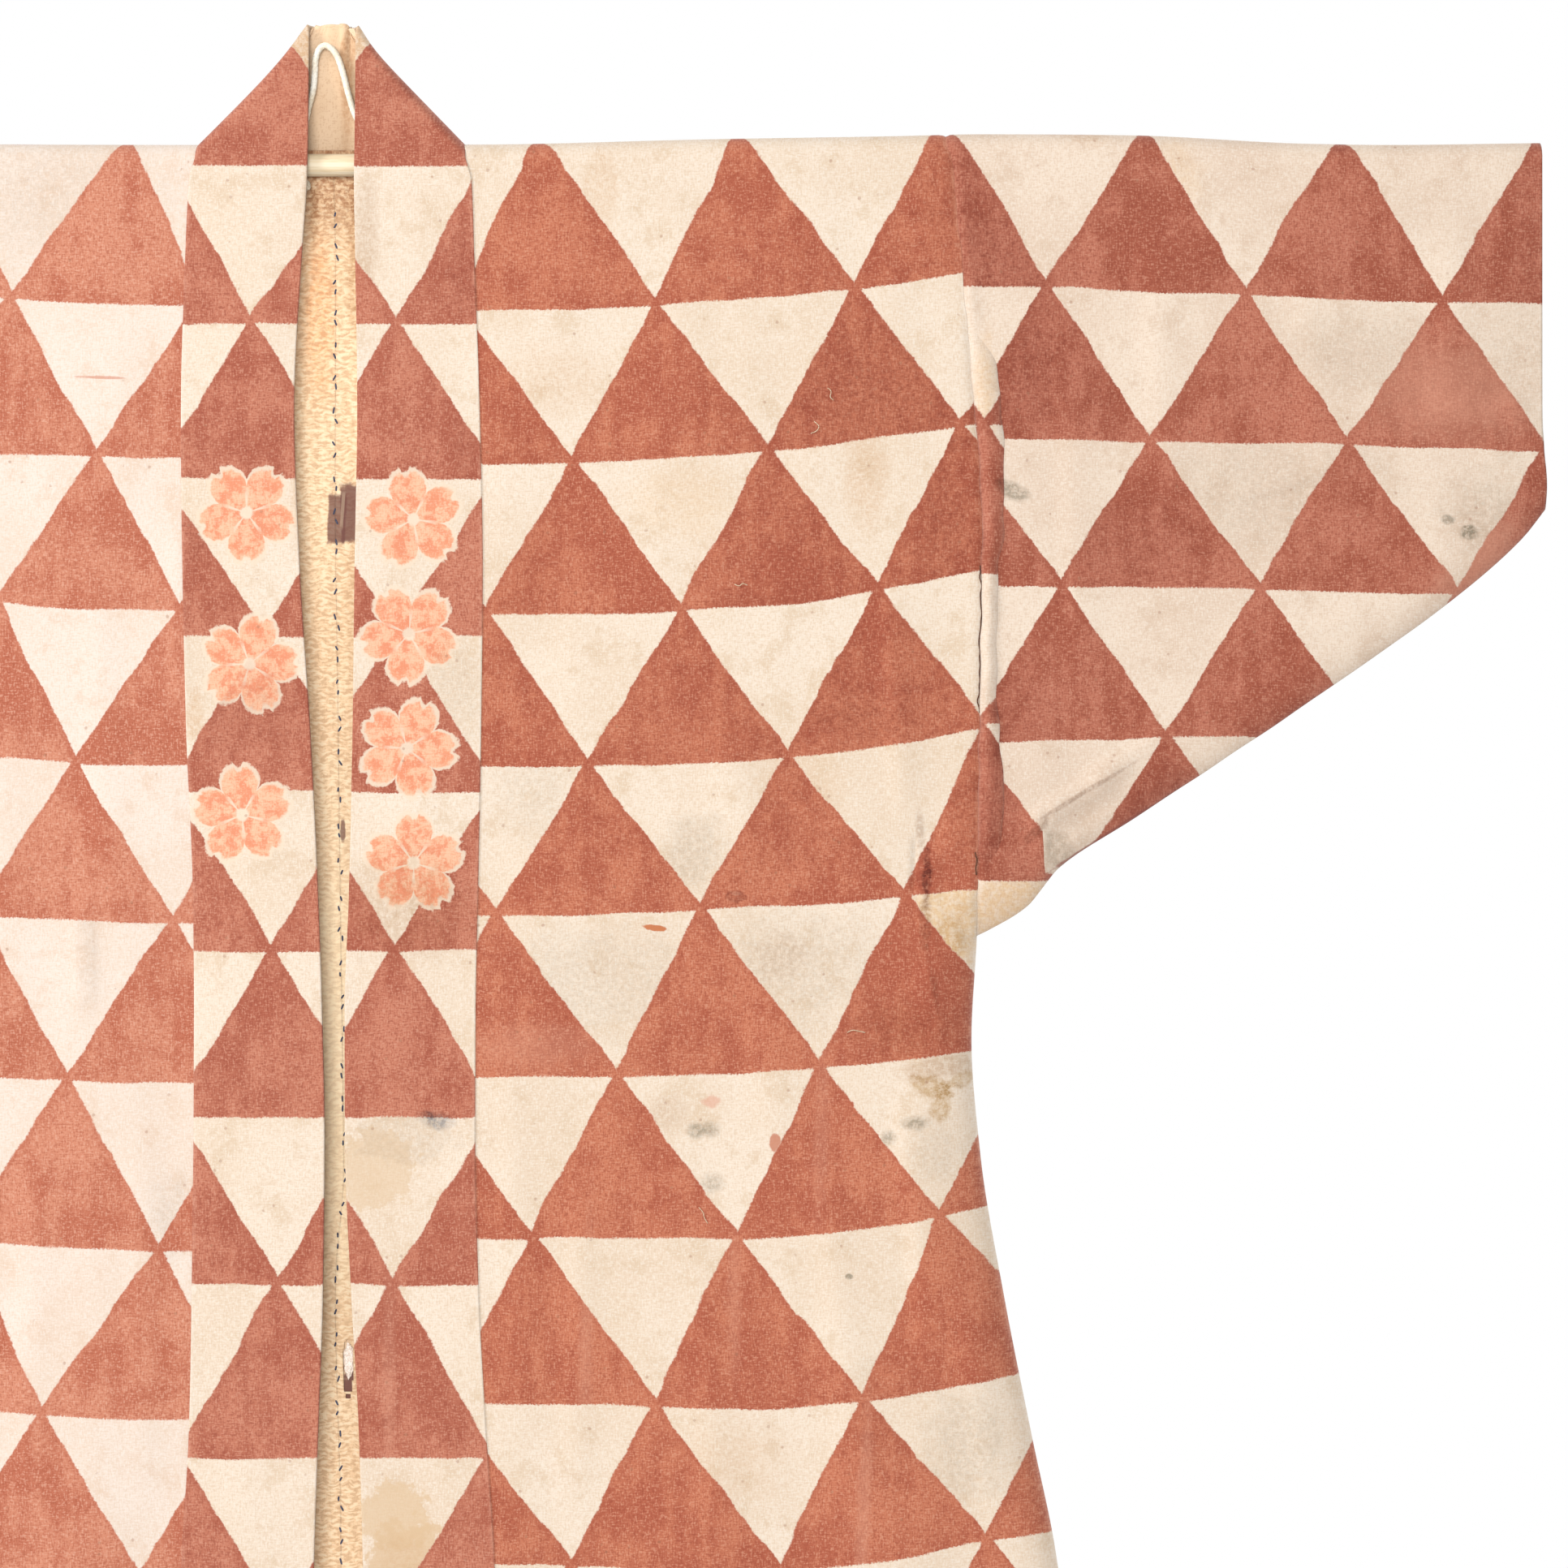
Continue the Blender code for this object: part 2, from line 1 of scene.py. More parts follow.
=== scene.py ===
"""Looks of the happi coat on its rod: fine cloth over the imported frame, its dyed triangles, wear and thread.

Metres, +Z up, the front faces -Y, the origin on the rod's axis. Places on the front are read off the photograph
in its own pixels, where one pixel is PIXEL of cloth and ORIGIN_PIXEL lies at the origin.
"""

import math

import bmesh
import bpy
import numpy as np
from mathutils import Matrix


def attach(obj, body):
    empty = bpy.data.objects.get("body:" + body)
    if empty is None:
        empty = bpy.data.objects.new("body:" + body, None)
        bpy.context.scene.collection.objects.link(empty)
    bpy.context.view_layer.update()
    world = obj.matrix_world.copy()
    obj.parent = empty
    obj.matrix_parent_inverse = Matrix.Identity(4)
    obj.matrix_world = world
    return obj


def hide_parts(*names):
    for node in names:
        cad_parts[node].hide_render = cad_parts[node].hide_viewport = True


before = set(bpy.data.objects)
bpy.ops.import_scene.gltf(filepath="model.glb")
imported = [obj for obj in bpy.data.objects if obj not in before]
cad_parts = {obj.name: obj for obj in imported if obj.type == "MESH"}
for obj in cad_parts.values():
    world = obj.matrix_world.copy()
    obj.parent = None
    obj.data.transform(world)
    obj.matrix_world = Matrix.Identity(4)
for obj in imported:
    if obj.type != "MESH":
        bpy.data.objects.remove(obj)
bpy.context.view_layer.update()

PIXEL = 0.00043
ORIGIN_PIXEL = (408, 199)
PHOTO_SIDE = 1932
FRONT_Y = -0.014
FLOOR_DROP = 0.10
FLOOR_REACH = 1.3

# Sizes shared with the solids
ROD_RADIUS = 0.006
GAP = 0.0004
LAYER_GAP = 0.0003
BODY_CLOTH = 0.0030
SLEEVE_CLOTH = 0.0026
LINING_CLOTH = 0.0012
COLLAR_CLOTH = 0.0030
TUCK_CLOTH = 0.0018
HEM_Z = -0.908
LINING_HEM_Z = -0.893
LINING_FRONT_Z = -0.050
NECK_SEAM_Z = 0.0088
CUFF_X = 0.6424
ARMPIT_Z = -0.410
SIDE_ROUND = 0.030
ARMPIT_ROUND = 0.050
LOWER_EDGE_ROUND = 0.030
NECK_CORNER_HEIGHT = 0.008
FOLD_RADIUS = ROD_RADIUS + 2 * LAYER_GAP + LINING_CLOTH + BODY_CLOTH / 2
LINING_INSET = BODY_CLOTH / 2 + LAYER_GAP + LINING_CLOTH / 2
LIFT_FADE = 0.120
SLEEVE_DEPTH = 0.0088
ARMHOLE_SHARE = 0.4
COLLAR_PROUD = 0.0006
COLLAR_CROWN = 0.0012
NECK_RISE = {"left": (0.0084, 0.19), "right": (0.0082, 0.08)}
TIP_ROUND = 0.04
CORD_RADIUS = 0.0018
TUCK_HEIGHT = 0.0031
UNDER_COLLAR = 0.0012
SEAM_DEPTH = 0.0011
SEAM_WIDTH = 0.0017
SEAM_SWAY = 0.0006
SEAM_FADE = 0.03
DIP_FADE = 0.02
TUCK_PAST = 0.006
TUCK_SINK = 0.0008
COLLAR_STRAIGHT_TOP = -0.012
STITCH_SUNK = 0.0005
SEAM_THREAD_OUT = 0.0008
TUFT_PIXEL = (424, 1684)
TUFT_SIZE = (0.0025, 0.0012, 0.0088)
RIP_CENTRE = (0.0067, -0.6424)
RIP_HALF_SIZE = (0.0024, 0.0140)
RIP_MARGIN = 0.020
RIP_STEP = 0.0012
LINING_SIDE = 0.0186
KNOT_Z = -0.0104
KNOT_SIZE = (0.00085, 0.00085, 0.0011)
KNOT_STRAND = 0.0013
STEP = 0.0045
FINE_STEP = 0.0018
FOLDED_ZONE = (-0.33, -0.47)

COLLAR_COLUMNS = ("z", "left_outer", "left_inner", "right_inner", "right_outer")
COLLAR_EDGES = (
    (-0.908, -0.082, -0.012, 0.02, 0.091), (-0.745, -0.0787, -0.009, 0.0172, 0.0869),
    (-0.667, -0.0748, -0.0065, 0.0147, 0.082), (-0.602, -0.0736, -0.0043, 0.011, 0.0785),
    (-0.516, -0.0726, -0.0034, 0.0075, 0.0765), (-0.452, -0.0724, -0.0047, 0.0073, 0.0766),
    (-0.387, -0.0731, -0.0069, 0.0095, 0.0779), (-0.3, -0.0767, -0.0112, 0.0114, 0.0795),
    (-0.215, -0.0787, -0.0168, 0.0125, 0.0804), (-0.13, -0.0796, -0.0198, 0.0138, 0.0786),
    (-0.045, -0.0774, -0.0156, 0.0125, 0.0756), (-0.01, -0.0757, -0.0133, 0.0118, 0.0742),
    (0.009, -0.0715, -0.0129, 0.012, 0.0697), (0.07, -0.0715, -0.0129, 0.012, 0.0697),
)
FOLD_COLUMNS = ("across", "left_x", "left_z", "right_x", "right_z", "half_depth", "reach")
COLLAR_FOLD = (
    (0.0, -0.0129, 0.0673, 0.012, 0.0685, 0.0025, 0.0025), (1.0, -0.0715, 0.009, 0.0697, 0.009, 0.0087, 0.005),
)
SIDE_COLUMNS = ("z", "x")
SIDE_SEAM = (
    (-0.908, 0.405), (-0.738, 0.3831), (-0.678, 0.3707), (-0.602, 0.3556), (-0.527, 0.3431), (-0.466, 0.3384),
    (-0.407, 0.3414), (-0.3, 0.3435), (-0.195, 0.3449), (-0.099, 0.338), (-0.032, 0.332), (0.016, 0.3255),
)
DEPTH_COLUMNS = ("z", "front", "back")
DEPTHS = (
    (-0.908, 0.0165, 0.0135), (-0.7, 0.015, 0.0125), (-0.43, 0.0138, 0.0118), (-0.2, 0.0126, 0.0112),
    (-0.06, 0.0106, 0.0102), (0.0, FOLD_RADIUS, FOLD_RADIUS), (0.02, FOLD_RADIUS, FOLD_RADIUS),
)
TOP_COLUMNS = ("x", "z")
SHOULDER_TOP = (
    (-0.642, 0.011), (-0.56, 0.0108), (-0.43, 0.0135), (-0.345, 0.014), (-0.2, 0.0112), (-0.076, 0.0108),
    (0.076, 0.011), (0.2, 0.0138), (0.3, 0.0155), (0.345, 0.0165), (0.42, 0.016), (0.52, 0.0114), (0.56, 0.0108),
    (0.642, 0.0118),
)
LOWER_COLUMNS = ("x", "z")
SLEEVE_LOWER = (
    (0.342, -0.41), (0.35, -0.406), (0.369, -0.394), (0.385, -0.374), (0.426, -0.3466), (0.516, -0.2864),
    (0.6003, -0.2262), (0.6325, -0.1975), (0.644, -0.183),
)
CUFF_COLUMNS = ("z", "x")
CUFF_EDGE = (
    (-0.183, 0.6445), (-0.172, 0.645), (-0.14, 0.6425), (0.016, 0.6424),
)
TUCK_COLUMNS = ("z", "width")
TUCK_WIDTHS = (
    (-0.382, 0.015), (-0.323, 0.012), (-0.273, 0.0078), (-0.225, 0.0078), (-0.186, 0.0112), (-0.109, 0.014),
    (-0.085, 0.01),
)
SEAM_COLUMNS = ("z", "x")
LINING_SEAM = (
    (-0.893, 0.0016), (-0.741, 0.0028), (-0.6, -0.0002), (-0.536, 0.0044), (-0.4, 0.0027), (-0.26, 0.001),
    (-0.18, 0.0), (-0.06, 0.0003), (0.008, -0.001),
)
RIGHT_FOLDS = (
    (0.272, 0.292, -0.44, -0.78, 0.004, 0.03), (0.198, 0.206, -0.52, -0.86, 0.003, 0.028),
    (0.12, 0.13, -0.6, -0.908, -0.0022, 0.03), (0.345, 0.36, -0.56, -0.82, -0.002, 0.022),
)
LEFT_FOLDS = (
    (0.284, 0.3, -0.47, -0.8, 0.0036, 0.032), (0.118, 0.13, -0.4, -0.7, 0.0024, 0.026),
    (0.205, 0.215, -0.56, -0.88, -0.0024, 0.032),
)
BACK_FOLDS = (
    (0.09, 0.1, -0.3, -0.8, 0.003, 0.04), (0.215, 0.235, -0.42, -0.85, 0.0034, 0.036),
    (0.3, 0.325, -0.5, -0.88, -0.0022, 0.028),
)
CORD_ROUTE = (
    (-0.016, 0.0, -0.0061), (-0.016, 0.0, 0.0), (-0.016, 0.0, 0.0065), (-0.016, 0.0008, 0.014),
    (-0.0154, 0.0015, 0.022), (-0.0136, 0.0014, 0.031), (-0.0112, 0.0008, 0.04), (-0.0102, 0.0, 0.049),
    (-0.0098, -0.0008, 0.056), (-0.008, -0.0014, 0.0612), (-0.0047, -0.0018, 0.0636), (-0.001, -0.0015, 0.0618),
    (0.002, -0.0009, 0.0575), (0.0043, -0.0002, 0.0512), (0.0062, 0.0006, 0.044), (0.008, 0.0013, 0.037),
    (0.0104, 0.002, 0.029), (0.014, 0.0018, 0.0215), (0.018, 0.0008, 0.0145), (0.02, 0.0, 0.0065), (0.02, 0.0, 0.0),
    (0.02, 0.0, -0.0061),
)

# Rows of the dyed triangles, in the photograph's pixels: where a row's first apex stands, the period, and the
# height of the line at the inner and the outer edge, and how far it sags between them
RIGHT_DYE = (
    (0, 663, 248, 171, 171, 0), (1, 686, 245, 384, 340, 5), (2, 707, 239, 572, 519, 8), (3, 719, 242, 760, 698, 12),
    (4, 726, 244, 944, 891, 18), (5, 736, 252, 1130, 1093, 3), (6, 760, 252, 1329, 1289, 10),
    (7, 782, 252, 1526, 1480, 21), (8, 808, 257, 1730, 1688, 25), (9, 831, 256, 1929, 1886, 25),
    (10, 852, 256, 2125, 2084, 22), (11, 874, 256, 2321, 2282, 20), (12, 896, 256, 2517, 2480, 18),
)
LEFT_DYE = (
    (0, 155, 238, 171, 171, 0), (1, 127, 233, 377, 335, 0), (2, 118, 228, 566, 525, 0), (3, 109, 226, 753, 711, 0),
    (4, 92, 232, 943, 900, 0), (5, 93, 240, 1139, 1095, 0), (6, 82, 240, 1336, 1293, 0), (7, 76, 240, 1541, 1500, 0),
    (8, 52, 240, 1750, 1705, 0), (9, 50, 240, 1945, 1900, 0), (10, 34, 240, 2140, 2095, 0),
    (11, 18, 240, 2335, 2290, 0), (12, 2, 240, 2530, 2485, 0),
)
SLEEVE_DYE = (
    (0, 1412, 244, 171, 171, 0), (1, 1412, 244, 359, 374, 0), (2, 1418, 244, 541, 555, 0), (3, 1430, 246, 721, 734, 0),
    (4, 1440, 248, 918, 894, 0), (5, 1447, 248, 1083, 1095, 0), (6, 1454, 248, 1266, 1278, 0),
)
TUCK_DYE = (
    (0, 1208, 243, 171, 171, 0), (1, 1210, 243, 345, 345, 0), (2, 1213, 243, 524, 524, 0), (3, 1212, 243, 708, 708, 0),
    (4, 1210, 243, 893, 893, 0), (5, 1206, 243, 1085, 1085, 0), (6, 1204, 243, 1270, 1270, 0),
)
LAP = (1286, 1326, 4.62)
# Where the slant of the rows starts across the cloth, over which width it grows, and the most it takes of that
BODY_SLANT = (0.080, 0.255, 2.2)
SLEEVE_SLANT = (0.340, 0.300, 1.2)
SLANT_POWER = 1.7
BAND_COLUMNS = ("row", "y", "left_x", "right_x")
BAND_DYE = (
    (-2, -382, 318, 480), (-1, -187, 322, 480), (0, 8, 323, 481), (1, 204, 322, 474), (2, 400, 308, 489),
    (3, 591, 314, 492), (4, 786, 329, 488), (5, 976, 333, 487), (6, 1172, 335, 488), (7, 1378, 338, 487),
    (8, 1583, 343, 486), (9, 1797, 344, 483), (10, 2000, 345, 478), (11, 2200, 346, 478), (12, 2400, 346, 478),
)
BAND_PERIOD = 246 * PIXEL
MAP_JUMP = {"cloth": 0.03, "dye": 0.5, "edge": 1.0}

# Creases of the cloth, in pixels: from, to, width on the near and the far side, height in millimetres
FRONT_CREASES = (
    (1141, 1030, 1137, 1175, 3, 12, 4.4), (1152, 990, 1147, 1160, 8, 8, -2.0), (1129, 1020, 1126, 1110, 5, 5, -1.6),
    (1141, 1165, 1160, 1215, 4, 9, 1.6), (1258, 1026, 1408, 935, 3, 12, 4.4), (1276, 1044, 1402, 958, 9, 7, -2.0),
    (1330, 965, 1450, 905, 5, 12, 1.6), (1287, 1012, 1289, 1100, 14, 2.5, 2.4), (1296, 1060, 1340, 1030, 8, 10, 1.8),
    (1180, 1085, 1290, 1120, 12, 12, 2.0), (1160, 1150, 1208, 1190, 7, 10, 2.0), (1150, 1110, 1190, 1180, 6, 8, 1.4),
    (1132, 1180, 1160, 1300, 7, 14, 1.8), (1184, 250, 1196, 420, 7, 14, 1.2), (1090, 690, 1118, 1040, 16, 26, 1.6),
    (880, 900, 960, 1080, 26, 36, 1.2), (1110, 1330, 1150, 1700, 16, 32, 2.2), (1010, 1400, 1060, 1900, 18, 34, 1.8),
    (1180, 1560, 1235, 1900, 16, 26, 1.8), (860, 1500, 880, 1900, 16, 30, 1.5), (715, 1400, 705, 1900, 12, 22, 1.5),
    (940, 1230, 960, 1420, 18, 30, 1.1), (620, 1200, 640, 1800, 12, 26, 1.0), (100, 1090, 108, 1260, 5, 12, 1.8),
    (120, 700, 128, 1100, 18, 30, 1.2), (170, 1350, 175, 1900, 14, 26, 1.6), (40, 1380, 30, 1900, 16, 30, 1.5),
    (215, 640, 222, 900, 8, 14, 1.0), (1420, 250, 1440, 640, 18, 44, 1.3), (1600, 240, 1640, 700, 22, 44, 1.3),
    (1780, 260, 1800, 560, 18, 34, 1.1), (1320, 420, 1330, 900, 18, 38, 1.2), (1500, 620, 1700, 560, 9, 22, 1.1),
    (1480, 800, 1700, 760, 9, 20, 1.0), (1850, 480, 1905, 560, 7, 14, 1.6),
)
MIRRORED_FROM = 0.330
# How much of a crease's length it takes to rise, and how far below the shoulder the cloth becomes uneven
CREASE_END = 0.25
FLAT_AT_FOLD = 0.03
# Unevenness of the cloth: height, number of waves, wavelength, how much longer down than across
UNEVENNESS = ((0.0008, 6, 0.110, 3.0), (0.0004, 7, 0.036, 1.6))
# Pressed creases of the collar behind the neck: x, width, height, how far down the band
NECK_CREASES = (
    (-0.0098, 0.0014, 0.0012, 1.0), (0.0052, 0.001, 0.0014, 0.55), (0.0078, 0.001, -0.0014, 0.9),
    (-0.002, 0.003, 0.0006, 1.0),
)
NECK_MAP_SHIFT = 0.5
FLAT_Z = 0.009


def pixel_x(px):
    return (np.asarray(px, float) - ORIGIN_PIXEL[0]) * PIXEL


def pixel_z(py):
    return (ORIGIN_PIXEL[1] - np.asarray(py, float)) * PIXEL


def read(table, columns, name, at):
    """Smooth values of a named column at places in the first column, with no overshoot between rows."""
    rows = np.array(table, float)
    places, values = rows[:, 0], rows[:, columns.index(name)]
    at = np.clip(at, places[0], places[-1])
    i = np.clip(np.searchsorted(places, at) - 1, 0, len(places) - 2)
    steps = np.diff(values) / np.diff(places)
    slopes = np.concatenate([steps[:1], np.zeros(len(steps) - 1), steps[-1:]])
    for k in range(1, len(steps)):
        before, after = steps[k - 1], steps[k]
        if before * after > 0:
            slopes[k] = 2 * before * after / (before + after)
    span = places[i + 1] - places[i]
    t = (at - places[i]) / span
    return (
        values[i] * (1 + 2 * t) * (1 - t) ** 2
        + slopes[i] * span * t * (1 - t) ** 2
        + values[i + 1] * t * t * (3 - 2 * t)
        - slopes[i + 1] * span * t * t * (1 - t)
    )


def mix(a, b, t):
    return a + (b - a) * t


def smooth(t):
    t = np.clip(t, 0.0, 1.0)
    return t * t * (3 - 2 * t)


def closing(z, lowest, round_height):
    low = np.clip((lowest + round_height - z) / round_height, 0.0, 1.0)
    return np.sqrt(1 - low * low)


def collar_edge(name, z):
    return read(COLLAR_EDGES, COLLAR_COLUMNS, name, z)


def side_x(z):
    return read(SIDE_SEAM, SIDE_COLUMNS, "x", z)


def depth(face, z):
    return read(DEPTHS, DEPTH_COLUMNS, face, z)


def fold_top(x):
    return read(SHOULDER_TOP, TOP_COLUMNS, "z", x)


def ripple(x, z, seed, waves, wavelength, tall):
    """A gentle unevenness between about -1 and 1, longer down the cloth than across it."""
    draw = np.random.default_rng(seed)
    total = np.zeros(np.broadcast(x, z).shape)
    for _ in range(waves):
        length = wavelength * draw.uniform(0.6, 1.6)
        angle = draw.uniform(-0.5, 0.5)
        phase = draw.uniform(0, 2 * math.pi)
        along = x * math.cos(angle) + z * math.sin(angle) / tall
        total += np.sin(2 * math.pi * along / length + phase + 1.3 * np.sin(z * 9 + phase))
    return total / waves


def relief(face, x, z):
    """How far folds, creases and the unevenness of old cloth lift it out. x is the coat's own, right positive."""
    lift = 0.0
    for number, (height, waves, wavelength, tall) in enumerate(UNEVENNESS):
        seed = 5 * number + (11 if face == "front" else 12)
        lift = lift + height * ripple(x, z, seed, waves, wavelength, tall)
    if face == "back":
        return lift * smooth(-z / FLAT_AT_FOLD)
    x = np.where(x < -MIRRORED_FROM, -x, x)
    for x1, y1, x2, y2, near, far, height in FRONT_CREASES:
        start = np.array([pixel_x(x1), pixel_z(y1)])
        end = np.array([pixel_x(x2), pixel_z(y2)])
        length = np.linalg.norm(end - start)
        way = (end - start) / length
        along = ((x - start[0]) * way[0] + (z - start[1]) * way[1]) / length
        off = (x - start[0]) * -way[1] + (z - start[1]) * way[0]
        width = np.where(off < 0, near, far) * PIXEL
        ends = smooth(along / CREASE_END) * smooth((1 - along) / CREASE_END)
        lift = lift + height * 0.001 * np.exp(-((off / width) ** 2)) * ends
    return lift * smooth(-z / FLAT_AT_FOLD)


def fold_height(side, face, x, z):
    rows = BACK_FOLDS if face == "back" else (RIGHT_FOLDS if side > 0 else LEFT_FOLDS)
    lift = 0.0
    for x_start, x_hem, z_start, z_full, height, width in rows:
        down = (z_start - z) / (z_start - z_full)
        middle = mix(x_start, x_hem, np.clip(down, 0.0, 1.2))
        lift = lift + height * smooth(down) * np.exp(-(((x - middle) / width) ** 2))
    return lift


def body_depth(side, face, x, z):
    to_edge = np.clip((side_x(z) - x) / SIDE_ROUND, 0.0, 1.0)
    rounded = np.sqrt(1 - (1 - to_edge) ** 2)
    full = depth(face, z)
    at_edge = full * closing(z, ARMPIT_Z, ARMPIT_ROUND)
    inner = 0.0 if face == "back" else collar_edge("right_outer", z)
    fade = smooth(to_edge) * smooth((x - inner) / SIDE_ROUND)
    out = mix(at_edge, full, rounded)
    return out + fold_height(side, face, x, z) * fade + relief(face, side * x, z) * out / full


def seam_x(z):
    """The sleeve seam, a little unsteady as a hand-sewn one is."""
    unsteady = ripple(2.5 * z, z, 41, 5, 0.090, 1.0) * SEAM_SWAY + ripple(5 * z, z, 43, 4, 0.090, 1.0) * SEAM_SWAY
    return side_x(z) + unsteady * smooth((z - ARMPIT_Z) / SEAM_FADE)


def seam_dip(distance, z):
    """How far cloth sinks where the sleeve is sewn on."""
    return SEAM_DEPTH * np.exp(-((distance / SEAM_WIDTH) ** 2)) * smooth((z - ARMPIT_Z) / DIP_FADE)


def panel_inner_x(side, z):
    """A panel runs a little way under the collar, less so at the neck."""
    edge = collar_edge("right_outer" if side > 0 else "left_outer", z)
    return np.abs(edge) - UNDER_COLLAR * (1 - 0.8 * smooth(1 + z / NECK_CORNER_HEIGHT))


def heights_between(a, b, step=STEP):
    return np.linspace(a, b, max(2, int(round(abs(b - a) / step)) + 1))


def places_across():
    """Shares of the way across a panel, closer at its inner edge and near the armpit's folds."""
    return np.concatenate([[0.0, 0.004], np.linspace(0.012, 0.76, 36), np.linspace(0.77, 1.0, 34)])


def dye_lattice(table, sign, x, v):
    """Lattice coordinates of the dyed triangles: p across in periods and q down in rows.

    v is the height on the front, and runs on over the shoulder and down the back. The pattern is turned at the
    shoulder, as it is where the photograph shows the first apexes of the back."""
    row, apex_x, period, inner_y, outer_y, sag = np.array(table, float).T
    top = pixel_z(inner_y[0])
    v = np.where(v > top, 2 * top - v, v)
    start, width, most = SLEEVE_SLANT if table is SLEEVE_DYE else BODY_SLANT
    lean = np.clip((sign * x - start) / width, 0.0, most)
    if table is SLEEVE_DYE:
        weight = lean
    else:
        weight = np.minimum(lean, 1.0) ** SLANT_POWER + np.maximum(lean - 1.0, 0.0)
    sagged = smooth(lean / 0.75) * (1 - 0.45 * smooth((lean - 0.85) / 0.25)) * PIXEL
    q = np.zeros(np.broadcast(x, v).shape)
    lines = [mix(pixel_z(a), pixel_z(b), weight) - c * sagged for a, b, c in zip(inner_y, outer_y, sag)]
    for k in range(len(lines) - 1):
        share = (lines[k] - v) / (lines[k] - lines[k + 1])
        q = np.where(share >= 0, k + share, q)
    p = (x - np.interp(q, row, pixel_x(apex_x))) / (np.interp(q, row, period) * PIXEL) * sign
    if table is SLEEVE_DYE:
        # The cloth lapped over the sleeve near the armpit ends the red there
        lapped = (x > pixel_x(LAP[0])) & (x < pixel_x(LAP[1])) & (q > LAP[2]) & (q < 5)
        p = np.where(lapped, -0.5, p)
    return p, q


def band_lattice(word, x, s):
    """The same on the collar band, where x is across the band and s along it."""
    rows = np.array(BAND_DYE, float)
    heights = pixel_z(rows[:, 1])
    q = np.interp(-s, -heights, rows[:, 0])
    column = pixel_x(rows[:, BAND_COLUMNS.index(word + "_x")])
    return (x - np.interp(q, rows[:, 0], column)) / BAND_PERIOD, q


def add_object(name, data):
    made = bpy.data.objects.new(name, data)
    bpy.context.scene.collection.objects.link(made)
    return made


def add_piece(name, mesh, materials, node=None):
    """A piece of the coat, with its materials, attached to the root body and, where it takes a node's place, hiding
    that node.
    """
    for material in materials:
        mesh.materials.append(material)
    mesh.shade_smooth()
    piece = add_object(name, mesh)
    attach(piece, "root")
    if node:
        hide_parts(node)
    return piece


def sheet_piece(node, points, maps, thickness, materials, ring=False, turned=False, missing=None):
    """A cloth through a grid of points, with its thickness, its UV maps, and its outer and inner material."""
    rows, columns = points.shape[:2]
    index = np.arange(rows * columns).reshape(rows, columns)
    across = np.roll(index, -1, axis=1) if ring else index[:, 1:]
    first = index if ring else index[:, :-1]
    quads = np.stack([first[:-1], across[:-1], across[1:], first[1:]], axis=-1).reshape(-1, 4)
    if missing is not None:
        quads = quads[~missing.reshape(-1)[quads].any(axis=1)]
    if turned:
        quads = quads[:, ::-1]
    used, renumbered = np.unique(quads, return_inverse=True)
    mesh = bpy.data.meshes.new("coat_" + node)
    mesh.from_pydata(points.reshape(-1, 3)[used].tolist(), [], renumbered.reshape(-1, 4).tolist())
    for layer_name, values in maps.items():
        corners = values.reshape(-1, 2)[quads]
        # A face never spans two far parts of a map
        corners = np.where(np.abs(corners - corners[:, :1]) > MAP_JUMP[layer_name], corners[:, :1], corners)
        layer = mesh.uv_layers.new(name=layer_name)
        layer.data.foreach_set("uv", corners.reshape(-1).astype(np.float32))
    piece = add_piece("coat_" + node, mesh, materials, node)
    wall = piece.modifiers.new("cloth", "SOLIDIFY")
    wall.thickness = thickness
    wall.offset = 0.0
    wall.material_offset = len(materials) - 1
    return piece


def maps_of(x, v, p, q, edge):
    """The three UV maps of a cloth: metres along it, the dye's lattice, and the distance to a sewn edge."""
    return {
        "cloth": np.stack([x, v], axis=-1),
        "dye": np.stack([p, q], axis=-1),
        "edge": np.stack([edge, np.zeros_like(edge)], axis=-1),
    }


def finer_between(high, low, bottom, step):
    """Heights from the shoulder to the bottom, closer between two of them."""
    spans = [heights_between(0.0, high), heights_between(high, low, step)[1:], heights_between(low, bottom)[1:]]
    return np.concatenate(spans)


def panel_rows(front, down):
    """Rows of a panel: up the front, over the rod and down the back."""
    arc = np.radians(np.linspace(0, 180, 13))[1:-1]
    return [("front", z) for z in front] + [("arc", angle) for angle in arc] + [("back", z) for z in down]


